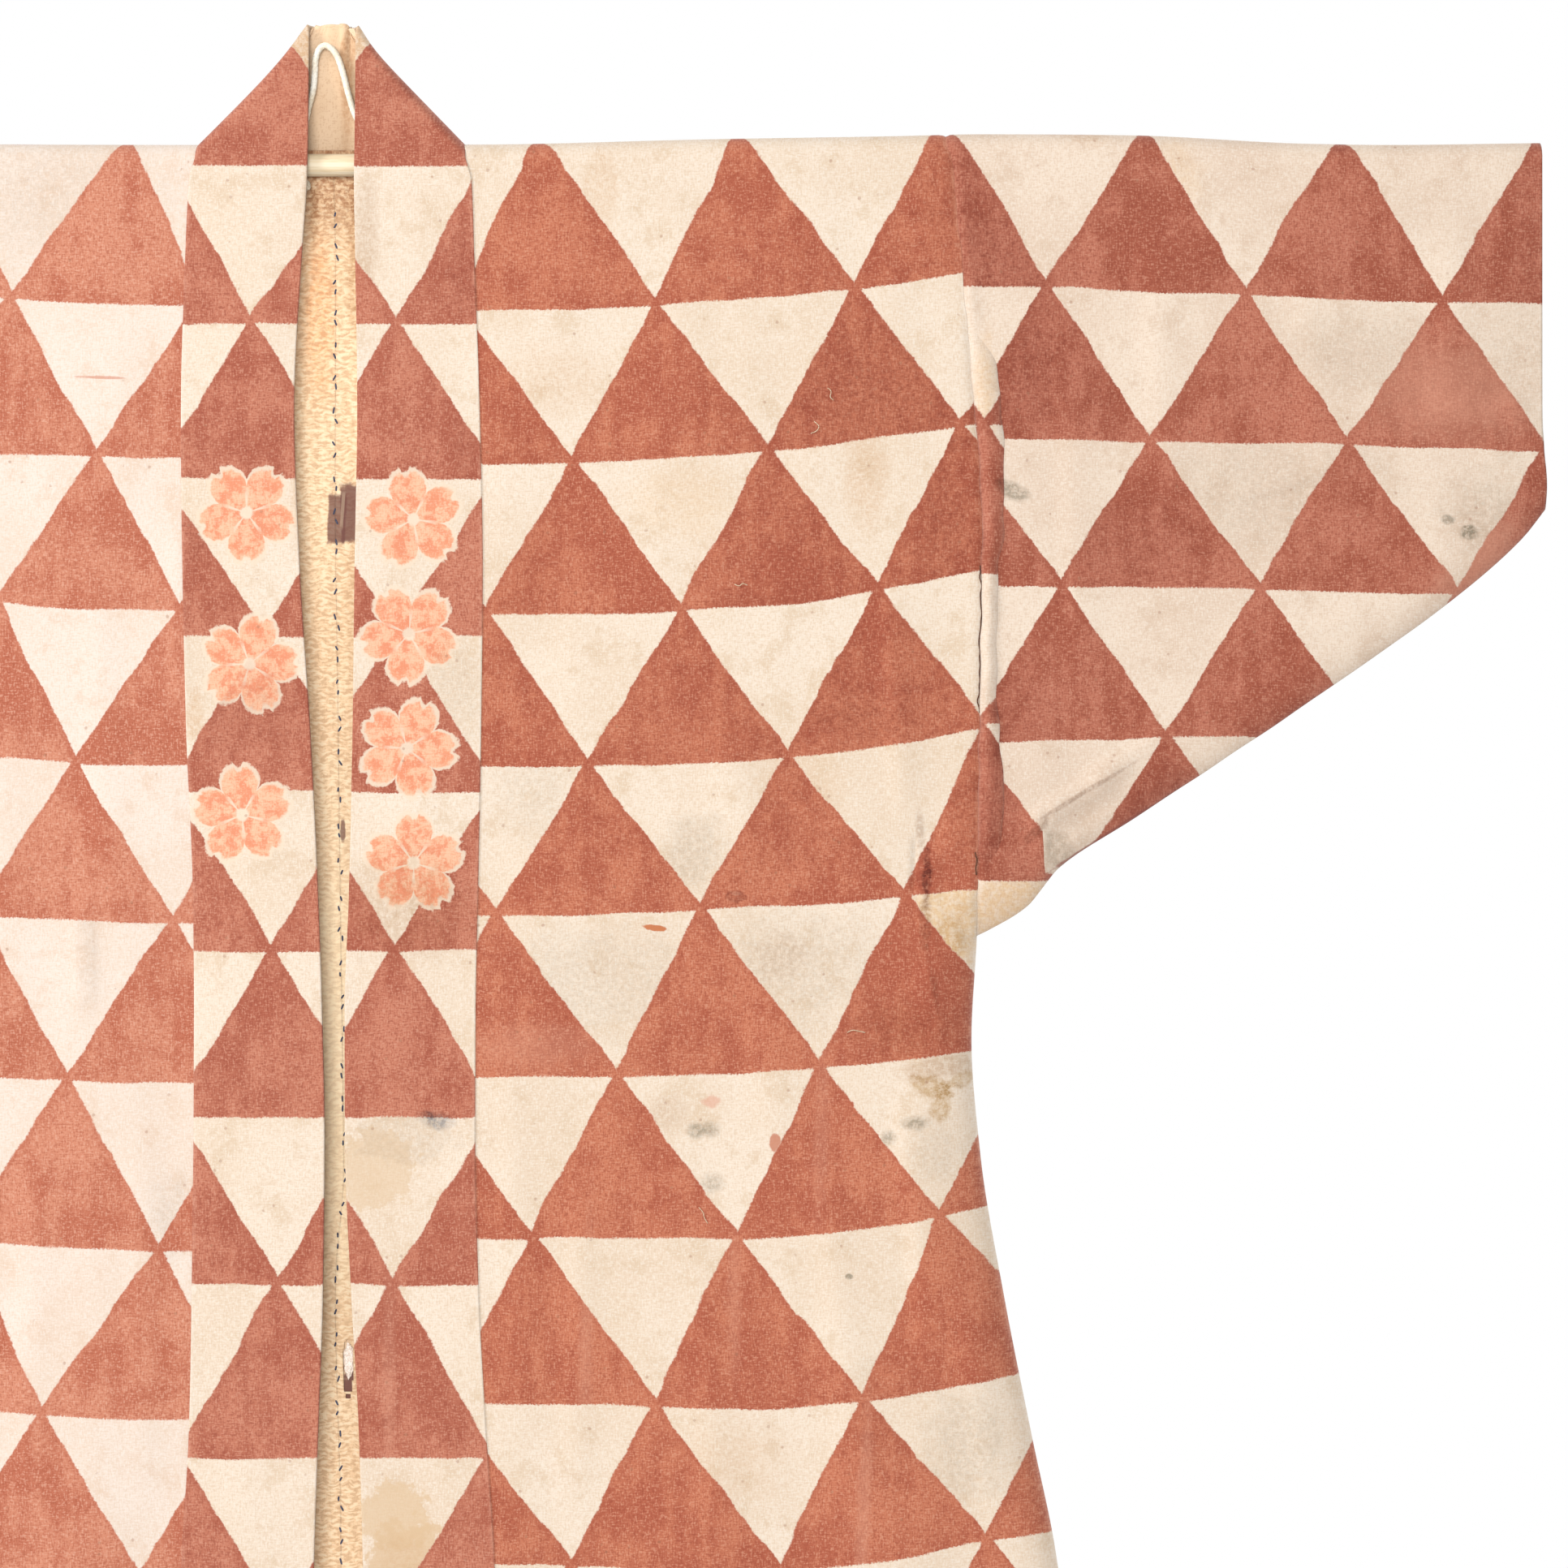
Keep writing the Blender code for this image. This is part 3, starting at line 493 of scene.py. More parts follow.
def panel_grid(side, rows, neck, neck_start, side_places, inset, gap, neck_top):
    """Points of a panel, how far each is from a sewn edge, and which are missing: the neck is only on the back.

    The inset is how far it lies inside the body, or None for the body itself, which sinks at the sleeve seam."""
    neck_x = float(panel_inner_x(side, NECK_SEAM_Z))
    flat, n = places_across(), len(neck)
    points, edge, missing = [], [], []
    for kind, at in rows:
        z = 0.0 if kind == "arc" else at
        inner = float(panel_inner_x(side, z)) if kind == "front" else neck_x
        outer = float(seam_x(NECK_SEAM_Z if kind == "arc" else z)) - gap
        body = mix(inner, outer - SIDE_ROUND, flat)
        x = np.concatenate([mix(neck_start(z), neck_x, neck), body, outer - side_places])
        radius = FOLD_RADIUS - (seam_dip(outer - x, z) if inset is None else inset) + 0 * x
        lift = (fold_top(side * x) - BODY_CLOTH / 2 - FOLD_RADIUS) * smooth(1 + z / LIFT_FADE)
        if kind == "arc":
            y = -radius * math.cos(at)
            height = radius * math.sin(at) + lift
        else:
            out = body_depth(side, kind, x, np.full(len(x), z)) - FOLD_RADIUS + radius
            y = -out if kind == "front" else out
            height = z + lift
        if kind == "back":
            over = (float(fold_top(side * neck_x)) - BODY_CLOTH / 2 - FOLD_RADIUS) * smooth(1 + z / LIFT_FADE)
            height[:n] = z + over
            if z == 0.0:
                height[:n], y[:n] = neck_top, radius[:n]
        points.append(np.stack([side * x, y, height], axis=-1))
        edge.append(np.minimum(outer - x, np.abs(x - inner)))
        missing.append((np.arange(len(x)) < n) & (kind != "back"))
    return np.array(points), np.array(edge), np.array(missing)


def body_cloth(side, word, table, materials):
    """One panel of the body, from the front hem to the back hem."""
    rows = panel_rows(finer_between(*FOLDED_ZONE, HEM_Z, FINE_STEP)[::-1], heights_between(0.0, HEM_Z))
    turn = np.sin(np.radians(np.linspace(0, 90, 10)))[1:]
    neck, side_places = np.linspace(0.0, 0.985, 18), SIDE_ROUND * (1 - turn)
    points, edge, missing = panel_grid(
        side, rows, neck, lambda z: GAP / 2, side_places, None, 0.0, NECK_SEAM_Z + GAP
    )
    along = {"front": lambda z: z, "arc": lambda a: FOLD_RADIUS * a, "back": lambda z: math.pi * FOLD_RADIUS - z}
    x = points[:, :, 0]
    v = np.array([along[kind](at) for kind, at in rows])[:, None] + 0 * x
    maps = maps_of(x, v, *dye_lattice(table, side, x, v), edge)
    return sheet_piece(
        "body_" + word, points, maps, BODY_CLOTH, materials, turned=side < 0, missing=missing
    )


def sleeve_low_z(u):
    first, last = SLEEVE_LOWER[0][0], SLEEVE_LOWER[-1][0]
    return read(SLEEVE_LOWER, LOWER_COLUMNS, "z", mix(first, last, u))


def sleeve_x(u, z):
    return mix(seam_x(z), read(CUFF_EDGE, CUFF_COLUMNS, "x", z), u)


def sleeve_round(u):
    return mix(ARMPIT_ROUND, LOWER_EDGE_ROUND, smooth(u / ARMHOLE_SHARE))


def sleeve_depth(side, face, u, z):
    full = mix(depth(face, z), SLEEVE_DEPTH, smooth(u / ARMHOLE_SHARE))
    closed = closing(z, sleeve_low_z(u), sleeve_round(u))
    dip = seam_dip(sleeve_x(u, z) - seam_x(z), z)
    return (full + relief(face, side * sleeve_x(u, z), z)) * closed - dip


def sleeve_cloth(side, word, materials):
    near = np.linspace(0.014, 0.24, 40)
    shares = np.concatenate([[0.0, 0.0035, 0.008], near, np.linspace(0.25, 0.985, 54), [0.996, 1.0]])
    turn = np.sin(np.radians(np.linspace(0, 90, 12)))
    arc = np.radians(np.linspace(0, 90, 7))
    heights = np.concatenate([np.linspace(0, 0.58, 48), np.linspace(0.585, 1.0, 70)])
    points, v_map = [], []
    for u in shares:
        top_x = float(sleeve_x(u, NECK_SEAM_Z))
        lift = float(fold_top(side * top_x)) - SLEEVE_CLOTH / 2 - FOLD_RADIUS
        radius = FOLD_RADIUS - float(seam_dip(top_x - seam_x(NECK_SEAM_Z), 0.0))
        low, rounding = float(sleeve_low_z(u)), float(sleeve_round(u))
        down = np.concatenate([heights * (low + rounding), low + rounding - rounding * turn[1:]])
        x = side * sleeve_x(u, down)
        height = down + lift * smooth(1 + down / LIFT_FADE)
        front = np.stack([x, -sleeve_depth(side, "front", u, down), height], axis=-1)
        back = np.stack([x, sleeve_depth(side, "back", u, down), height], axis=-1)
        fold = np.stack([0 * arc + side * top_x, -radius * np.sin(arc), radius * np.cos(arc) + lift], axis=-1)
        behind = fold[:0:-1] * (1, -1, 1)
        points.append(np.concatenate([fold[:-1], front, back[-2::-1], behind]))
        over = FOLD_RADIUS * (math.pi / 2 - arc)
        around = math.pi * FOLD_RADIUS
        v_map.append(np.concatenate([over[:-1], down, around - down[-2::-1], around - over[:0:-1]]))
    points, v_map = np.array(points), np.array(v_map)
    x = np.abs(points[:, :, 0])
    edge = np.minimum(x - seam_x(points[:, :, 2]), read(CUFF_EDGE, CUFF_COLUMNS, "x", points[:, :, 2]) - x)
    maps = maps_of(points[:, :, 0], v_map, *dye_lattice(SLEEVE_DYE, 1, x, v_map), np.abs(edge))
    return sheet_piece(
        "sleeve_" + word, points, maps, SLEEVE_CLOTH, materials, ring=True, turned=side < 0
    )


def tuck_cloth(side, word, face, materials):
    """The raised ridge where the sleeve's spare cloth is tucked beside its seam."""
    sign = -1 if face == "front" else 1
    z = np.linspace(TUCK_WIDTHS[0][0] - TUCK_PAST, TUCK_WIDTHS[-1][0] + TUCK_PAST, 130)[:, None]
    t = np.linspace(0.0, 1.0, 15)[None, :]
    ends = smooth((z - z[0]) / 0.045) * smooth((z[-1] - z) / 0.035)
    width = read(TUCK_WIDTHS, TUCK_COLUMNS, "width", z) * (0.55 + 0.45 * ends)
    width = width + 0.0008 * ripple(z * 3, z, 31, 4, 0.09, 1.0)
    x = seam_x(z) + LAYER_GAP + width * t
    u = (x - seam_x(z)) / (CUFF_X - seam_x(z))
    swell = TUCK_HEIGHT * (1 + 0.30 * ripple(z * 4, z, 33, 5, 0.10, 1.0)) * np.sin(math.pi * t**0.75) ** 0.7
    y = sleeve_depth(side, face, u, z + 0 * x) + (SEAM_DEPTH + swell) * ends - TUCK_SINK
    points = np.stack([side * x, sign * y, z + 0 * x], axis=-1)
    p, q = dye_lattice(TUCK_DYE, 1, x, z + 0 * x)
    maps = maps_of(side * x, z + 0 * x, p, q, width * np.minimum(t, 1 - t))
    turned = (side > 0) != (face == "front")
    return sheet_piece(
        "tuck_" + face + "_" + word, points, maps, TUCK_CLOTH, materials, turned=turned
    )


def collar_front_y(z):
    low_z, high_z = COLLAR_FOLD[1][2], COLLAR_FOLD[0][2]
    low_depth, high_depth = COLLAR_FOLD[1][5], COLLAR_FOLD[0][5]
    down = depth("front", z) + COLLAR_PROUD
    neck = mix(FOLD_RADIUS + COLLAR_PROUD, low_depth, z / low_z)
    peak = mix(low_depth, high_depth, (z - low_z) / (high_z - low_z))
    return np.where(z <= 0, down, np.where(z <= low_z, neck, peak))


def collar_x(word, across, z):
    return mix(collar_edge(word + "_inner", z), collar_edge(word + "_outer", z), across)


def collar_half(side, word):
    """Rows from the hem up one front to the back of the neck, with their lattice coordinates."""

    def fold(name):
        return mix(COLLAR_FOLD[0][FOLD_COLUMNS.index(name)], COLLAR_FOLD[1][FOLD_COLUMNS.index(name)], across)

    across = np.concatenate([[0.0, 0.012], np.linspace(0.05, 0.95, 17), [0.988, 1.0]])
    reach = math.sqrt(2) * fold("reach")
    fold_z, fold_x = fold(word + "_z"), fold(word + "_x")
    rise, share = NECK_RISE[word]
    fold_z = fold_z + rise * np.exp(-np.hypot(across, TIP_ROUND) / share)
    points, along = [], []
    for z in heights_between(HEM_Z, COLLAR_STRAIGHT_TOP):
        level = np.full(across.shape, z)
        x = collar_x(word, across, level)
        points.append(np.stack([x, -collar_front_y(level) - relief("front", x, level), level], axis=-1))
        along.append(level)
    for t in np.linspace(0.0, 1.0, 14)[1:-1]:
        z = mix(COLLAR_STRAIGHT_TOP, fold_z - reach, t)
        points.append(np.stack([collar_x(word, across, z), -collar_front_y(z), z], axis=-1))
        along.append(z)
    for angle in np.radians(np.linspace(-90, 90, 25)):
        run = reach * (1 - math.cos(angle))
        if angle < 0:
            z = fold_z - run
            x = collar_x(word, across, z)
            points.append(np.stack([x, collar_front_y(z) * math.sin(angle), z], axis=-1))
            along.append(z)
        else:
            x = fold_x - side * run
            points.append(np.stack([x, fold("half_depth") * math.sin(angle), fold_z], axis=-1))
            along.append(fold_z + run)
    return np.array(points), np.array(along), across


def collar_band(materials):
    """The whole band: up one front, over the fold, round the back of the neck and down the other front."""
    halves = {}
    for side, word in ((1, "right"), (-1, "left")):
        points, along, across = collar_half(side, word)
        inner, outer = (float(collar_edge(word + end, FLAT_Z)) for end in ("_inner", "_outer"))
        flat_x = mix(inner, outer, across)
        x = np.where(along > FLAT_Z, flat_x, points[:, :, 0])
        halves[word] = points, along, x, flat_x
    right, right_along, right_x, flat_x = halves["right"]
    left, left_along, left_x, _ = halves["left"]
    shares = np.linspace(0.0, 1.0, 40)[1:-1]
    neck = np.array([mix(right[-1], left[-1], t) for t in shares])
    t = shares[:, None]
    ends = smooth(t / 0.06) * smooth((1 - t) / 0.06)
    crown = 1.3 * np.sin(math.pi * t) + np.exp(-(((t - 0.19) / 0.12) ** 2))
    neck[:, :, 2] += COLLAR_CROWN * crown * ends * (1 - across) ** 2
    for x, width, height, reach in NECK_CREASES:
        press = np.exp(-(((neck[:, :, 0] - x) / width) ** 2)) * smooth(1 - across / reach)
        neck[:, :, 1] -= height * press * ends
    neck_along = right_along[-1] + np.abs(neck[:, :, 0] - right[-1][:, 0])
    neck_x = np.broadcast_to(flat_x, neck_along.shape)
    points = np.concatenate([right, neck, left[::-1]])
    along = np.concatenate([right_along, neck_along, left_along[::-1]])
    x = np.concatenate([right_x, neck_x + NECK_MAP_SHIFT, left_x[::-1]])
    lattices = [band_lattice("right", right_x, right_along), band_lattice("right", neck_x, neck_along)]
    lattices.append([values[::-1] for values in band_lattice("left", left_x, left_along)])
    p, q = (np.concatenate([pair[k] for pair in lattices]) for k in (0, 1))
    width = np.abs(flat_x[-1] - flat_x[0])
    edge = np.broadcast_to(width * (1 - across), along.shape)
    return sheet_piece("collar", points, maps_of(x, along, p, q, edge), COLLAR_CLOTH, materials)


def lining_cloth(side, word, material):
    """The back lining, from its centre seam to where the side turns, and a little way over the shoulder."""
    down = finer_between(RIP_CENTRE[1] + RIP_MARGIN, RIP_CENTRE[1] - RIP_MARGIN, LINING_HEM_Z, RIP_STEP)
    rows = panel_rows(heights_between(LINING_FRONT_Z, 0.0), down)
    neck = np.concatenate([np.linspace(0.0, 0.26, 21), np.linspace(0.30, 0.985, 11)])

    def seam(z):
        return side * float(read(LINING_SEAM, SEAM_COLUMNS, "x", z))

    points, _, missing = panel_grid(
        side, rows, neck, seam, np.array([LINING_SIDE]), LINING_INSET, GAP / 2, NECK_SEAM_Z
    )
    x, z = points[:, :, 0], points[:, :, 2]
    if side > 0:
        draw = np.random.default_rng(5)
        away = np.hypot((x - RIP_CENTRE[0]) / RIP_HALF_SIZE[0], (z - RIP_CENTRE[1]) / RIP_HALF_SIZE[1])
        missing |= (away < 1.0 + draw.uniform(-0.12, 0.12, away.shape)) & (points[:, :, 1] > 0)
    # The front's and the fold's part of the map lie clear of the back's
    radius = FOLD_RADIUS - LINING_INSET
    along = {"front": lambda z: 0.1 - z, "arc": lambda a: 0.02 + radius * a, "back": lambda z: z}
    v = np.array([along[kind](at) for kind, at in rows])[:, None] + 0 * x
    maps = {"cloth": np.stack([x, v], axis=-1)}
    return sheet_piece(
        "lining_" + word, points, maps, LINING_CLOTH, [material], turned=side < 0, missing=missing
    )


def tube(name, route, radius, sides, twist=0.0, strands=3, bulge=0.0):
    """The mesh of a closed tube along a route, whose section can be a twist of strands."""
    route = np.array(route, float)
    ways = np.gradient(route, axis=0)
    ways /= np.linalg.norm(ways, axis=1)[:, None]
    side = np.cross(ways[0], (0.0, 1.0, 0.0))
    side /= np.linalg.norm(side)
    along = np.concatenate([[0], np.cumsum(np.linalg.norm(np.diff(route, axis=0), axis=1))])
    rings = []
    for point, way, s in zip(route, ways, along):
        side = side - way * side.dot(way)
        side /= np.linalg.norm(side)
        other = np.cross(way, side)
        turn = np.linspace(0, 2 * math.pi, sides, endpoint=False)
        r = radius * (1 - bulge + bulge * np.abs(np.cos(strands / 2 * (turn + twist * s))))
        rings.append(point + r[:, None] * (np.cos(turn)[:, None] * side + np.sin(turn)[:, None] * other))
    rings = np.array(rings)
    index = np.arange(len(route) * sides).reshape(len(route), sides)
    after = np.roll(index, -1, axis=1)
    quads = np.stack([index[:-1], after[:-1], after[1:], index[1:]], axis=-1).reshape(-1, 4).tolist()
    quads += [index[0][::-1].tolist(), index[-1].tolist()]
    mesh = bpy.data.meshes.new(name)
    mesh.from_pydata(rings.reshape(-1, 3).tolist(), [], quads)
    return mesh


def smooth_route(route, count):
    """Evenly spaced points on a smooth curve through the route."""
    route = np.array(route, float)
    before = np.vstack([2 * route[0] - route[1], route, 2 * route[-1] - route[-2]])
    fine = []
    for k in range(len(route) - 1):
        p, q, r, s = before[k : k + 4]
        for t in np.linspace(0, 1, 20, endpoint=False):
            bend = (2 * p - 5 * q + 4 * r - s) * t**2 + (3 * q - p - 3 * r + s) * t**3
            fine.append(0.5 * (2 * q + (r - p) * t + bend))
    fine.append(route[-1])
    fine = np.array(fine)
    lengths = np.concatenate([[0], np.cumsum(np.linalg.norm(np.diff(fine, axis=0), axis=1))])
    wanted = np.linspace(0, lengths[-1], count)
    return np.column_stack([np.interp(wanted, lengths, fine[:, k]) for k in range(3)]), lengths[-1]


# The scene's lights make a white cloth this many times too bright
GAIN = 0.44


def tone(red, green, blue, gain=GAIN):
    """Linear colour that shows as this screen colour under the scene's light."""

    def linear(value):
        value /= 255
        return value / 12.92 if value <= 0.04045 else ((value + 0.055) / 1.055) ** 2.4

    return tuple(min(1.0, linear(value) * gain) for value in (red, green, blue)) + (1.0,)


def tones(*colours, gain=GAIN):
    return tuple(tone(*colour, gain) for colour in colours)


def wash(red, green, blue):
    """A tint, for marks in the cloth and for painted shade, that turns clean cream to this screen colour, and lets the
    cloth show through.
    """
    share = [got / clean for got, clean in zip(tone(red, green, blue), tone(250, 231, 210))]
    return "MULTIPLY", tuple(share[:3]) + (1.0,)


def cover(red, green, blue):
    """A flat colour, for marks in the cloth and for painted light and shade, that hides what is under it."""
    return "MIX", tone(red, green, blue)


class Value:
    """What a node gives out, for sums with other values and with numbers."""

    def __init__(self, graph, made, name=0):
        self.graph, self.socket = graph, made.outputs[name]

    def __add__(self, other):
        return self.graph.math("ADD", self, other)

    def __sub__(self, other):
        return self.graph.math("SUBTRACT", self, other)

    def __rsub__(self, other):
        return self.graph.math("SUBTRACT", other, self)

    def __mul__(self, other):
        return self.graph.math("MULTIPLY", self, other)

    __radd__, __rmul__ = __add__, __mul__


class Graph:
    """Makes the nodes of a material."""

    def __init__(self, name, roughness=0.92, sheen=0.0):
        self.material = bpy.data.materials.new(name)
        self.material.use_nodes = True
        self.tree = self.material.node_tree
        self.shader = self.tree.nodes["Principled BSDF"]
        self.shader.inputs["Roughness"].default_value = roughness
        self.shader.inputs["Specular IOR Level"].default_value = 0.2
        if sheen:
            self.shader.inputs["Sheen Weight"].default_value = sheen
            self.shader.inputs["Sheen Roughness"].default_value = 0.6

    def node(self, kind, **settings):
        made = self.tree.nodes.new(kind)
        for key, value in settings.items():
            setattr(made, key, value)
        return made

    def put(self, socket, value):
        if isinstance(value, Value):
            self.tree.links.new(value.socket, socket)
        else:
            socket.default_value = value

    def uv(self, name):
        return Value(self, self.node("ShaderNodeUVMap", uv_map=name))

    def place(self):
        return Value(self, self.node("ShaderNodeTexCoord"), "Object")

    def math(self, operation, a, b=0.0):
        made = self.node("ShaderNodeMath", operation=operation)
        self.put(made.inputs[0], a)
        self.put(made.inputs[1], b)
        return Value(self, made)

    def noise(self, vector, scale, detail=1.0, rough=0.5, move=(0, 0, 0), flat=True):
        """Noise with about this many lumps to the metre, or to the metre each way."""
        across, down, deep = (scale, scale, scale) if isinstance(scale, (int, float)) else scale
        placed = self.node("ShaderNodeMapping")
        self.put(placed.inputs["Vector"], vector)
        placed.inputs["Scale"].default_value = (across, down, deep)
        placed.inputs["Location"].default_value = move
        made = self.node("ShaderNodeTexNoise", noise_dimensions="2D" if flat else "3D")
        self.put(made.inputs["Vector"], Value(self, placed))
        made.inputs["Scale"].default_value = 1.0
        made.inputs["Detail"].default_value = detail
        made.inputs["Roughness"].default_value = rough
        return Value(self, made, "Fac")

    def span(self, value, low, high, to_low=0.0, to_high=1.0):
        """A smooth step of the value from low to high."""
        made = self.node("ShaderNodeMapRange", interpolation_type="SMOOTHSTEP")
        for socket, given in zip(made.inputs, (value, low, high, to_low, to_high)):
            self.put(socket, given)
        return Value(self, made)

    def blend(self, share, a, b, kind="MIX"):
        made = self.node("ShaderNodeMix", data_type="RGBA", blend_type=kind)
        self.put(made.inputs["Factor"], share)
        self.put(made.inputs[6], a)
        self.put(made.inputs[7], b)
        return Value(self, made, 2)

    def split(self, vector):
        made = self.node("ShaderNodeSeparateXYZ")
        self.put(made.inputs[0], vector)
        return Value(self, made), Value(self, made, 1)

    def join(self, x, y):
        made = self.node("ShaderNodeCombineXYZ")
        self.put(made.inputs[0], x)
        self.put(made.inputs[1], y)
        return Value(self, made)

    def bump(self, height, strength, distance):
        made = self.node("ShaderNodeBump")
        made.inputs["Strength"].default_value = strength
        made.inputs["Distance"].default_value = distance
        self.put(made.inputs["Height"], height)
        self.put(self.shader.inputs["Normal"], Value(self, made))

    def finish(self, colour):
        self.put(self.shader.inputs["Base Color"], colour)
        return self.material


def threads(g, cloth):
    """The weave of coarse plain cloth: short slubs both ways and a fine grain, around 0.5."""
    weft = g.noise(cloth, (300, 1250, 1), 1.0, 0.6)
    warp = g.noise(cloth, (1250, 300, 1), 1.0, 0.6, (3.1, 7.7, 0))
    grain = g.noise(cloth, 950, 1.0, 0.6, (9.0, 5.0, 0))
    return weft * 0.36 + warp * 0.36 + grain * 0.28


def tinted_blot(g, colour, cloth, ragged, red_share, row, broken, square=False):
    """A blot with ragged edges, from a row of the tables of marks: real ones, painted shade and painted highlights."""
    x, y, half_width, half_height, turn, soft, strength, tint, on = row
    moved = g.node("ShaderNodeMapping", vector_type="TEXTURE")
    g.put(moved.inputs["Vector"], cloth)
    moved.inputs["Location"].default_value = (float(pixel_x(x)), float(pixel_z(y)), 0)
    moved.inputs["Rotation"].default_value = (0, 0, math.radians(-turn))
    moved.inputs["Scale"].default_value = (half_width * PIXEL, half_height * PIXEL, 1)
    if square:
        across, down = g.split(Value(g, moved))
        far = g.math("MAXIMUM", g.math("ABSOLUTE", across), g.math("ABSOLUTE", down))
    else:
        length = g.node("ShaderNodeVectorMath", operation="LENGTH")
        g.put(length.inputs[0], Value(g, moved))
        far = Value(g, length, "Value")
    share = g.span(far + ragged, 1.0 + soft / 2, 1.0 - soft / 2, 0.0, strength)
    if on == "red":
        share = share * red_share
    if on == "cream":
        share = share * (1.0 - red_share)
    kind, shade = tint
    if kind == "MULTIPLY":
        share = share * broken
    return g.blend(share, colour, shade, kind)


def dyed_cloth(name, reds, creams, mark_rows, motif=None):
    """Resist-dyed triangles on coarse cotton, in dark, light and fleck tones of the red and of the cream."""
    g = Graph(name, sheen=0.06)
    cloth = g.uv("cloth")
    p, q = g.split(g.uv("dye"))
    edge, _ = g.split(g.uv("edge"))
    wander = g.noise(cloth, 24, 2.0, 0.5)
    ragged = g.noise(cloth, 330, 2.0, 0.7)
    steps = g.noise(cloth, 900, 1.0, 0.5, (1.7, 4.2, 0))
    cloud = g.noise(cloth, 11, 3.0, 0.6)
    patch = g.noise(cloth, 44, 3.0, 0.65, (5.0, 2.0, 0))
    mottle = g.noise(cloth, 110, 3.0, 0.65, (7.0, 3.0, 0))
    streak = g.noise(cloth, (120, 20, 1), 2.0, 0.6, (2.0, 9.0, 0))
    weave = threads(g, cloth)

    fine = (ragged - 0.5) * 0.014
    stepped = (steps - 0.5) * 0.02
    strayed = (wander - 0.5) * 0.05 + (patch - 0.5) * 0.03
    p = p + (strayed + fine)
    q = q + ((cloud - 0.5) * 0.07 + stepped)
    row = g.math("FLOOR", q)
    down = q - row
    centred = p - row * 0.5 + 0.5
    from_apex = g.math("ABSOLUTE", g.math("FRACT", centred) - 0.5)
    # The red runs a little past its outline, so that triangles touch where their corners meet
    inside = down * 0.5 - from_apex + 0.028
    above_base = g.math("MAXIMUM", g.span(1.0 - down, -0.001, 0.01), g.span(from_apex, 0.458, 0.474))
    red_share = g.span(inside, -0.004, 0.007) * above_base

    worn = (patch - 0.5) * 1.5 + (cloud - 0.5) * 1.6
    worn = worn + ((mottle - 0.5) * 0.5 + (streak - 0.5) * 1.0)
    red = g.blend(g.span(worn, -0.40, 0.40), reds[0], reds[1])
    red = g.blend(g.span(weave, 0.505, 0.640, 0.0, 0.55), red, reds[2])
    red = g.blend(g.span(weave, 0.495, 0.370, 0.0, 0.55), red, reds[3])
    red = g.blend(g.span(inside, 0.04, 0.012) * 0.3, red, reds[0])

    cream = g.blend(g.span(cloud, 0.36, 0.66), creams[0], creams[1])
    cream = g.blend(g.span(patch + mottle * 0.5, 0.76, 0.98, 0.0, 0.6), cream, creams[2])
    cream = g.blend(g.span(weave, 0.50, 0.385, 0.0, 0.42), cream, creams[3])
    cream = g.blend(g.span(weave, 0.52, 0.62, 0.0, 0.50), cream, creams[4])
    colour = g.blend(red_share, cream, red)
    if motif:
        colour = motif(g, colour, cloth, ragged, weave)
    blot = (mottle - 0.5) * 1.2 + (ragged - 0.5) * 0.4
    broken = g.span(ragged, 0.36, 0.62, 0.45, 1.0)
    # Stains, and the painted shade and highlights listed with them
    for row_of in mark_rows:
        colour = tinted_blot(g, colour, cloth, blot, red_share, row_of, broken)
    specks = g.node("ShaderNodeTexVoronoi", voronoi_dimensions="2D")
    g.put(specks.inputs["Vector"], cloth)
    specks.inputs["Scale"].default_value = 60
    dot = g.span(Value(g, specks, "Distance") + ragged * 0.05, 0.085, 0.06)
    colour = g.blend(dot * g.span(patch, 0.56, 0.62, 0.0, 0.4), colour, SPECK)
    pale = g.span(edge, 0.0022, 0.0006) * g.span(mottle, 0.4, 0.64, 0.04, 0.34)
    colour = g.blend(pale, colour, g.blend(red_share, creams[4], reds[2]))
    g.bump(weave + mottle * 0.3, 0.4, 0.0004)
    return g.finish(colour)


# Blossoms down the ends of the collar, in pixels: the column's middle, the first one's height, the pitch, the number
BLOSSOMS_LEFT = (304, 632, 186, 3)
BLOSSOMS_RIGHT = (505, 640, 141, 4)


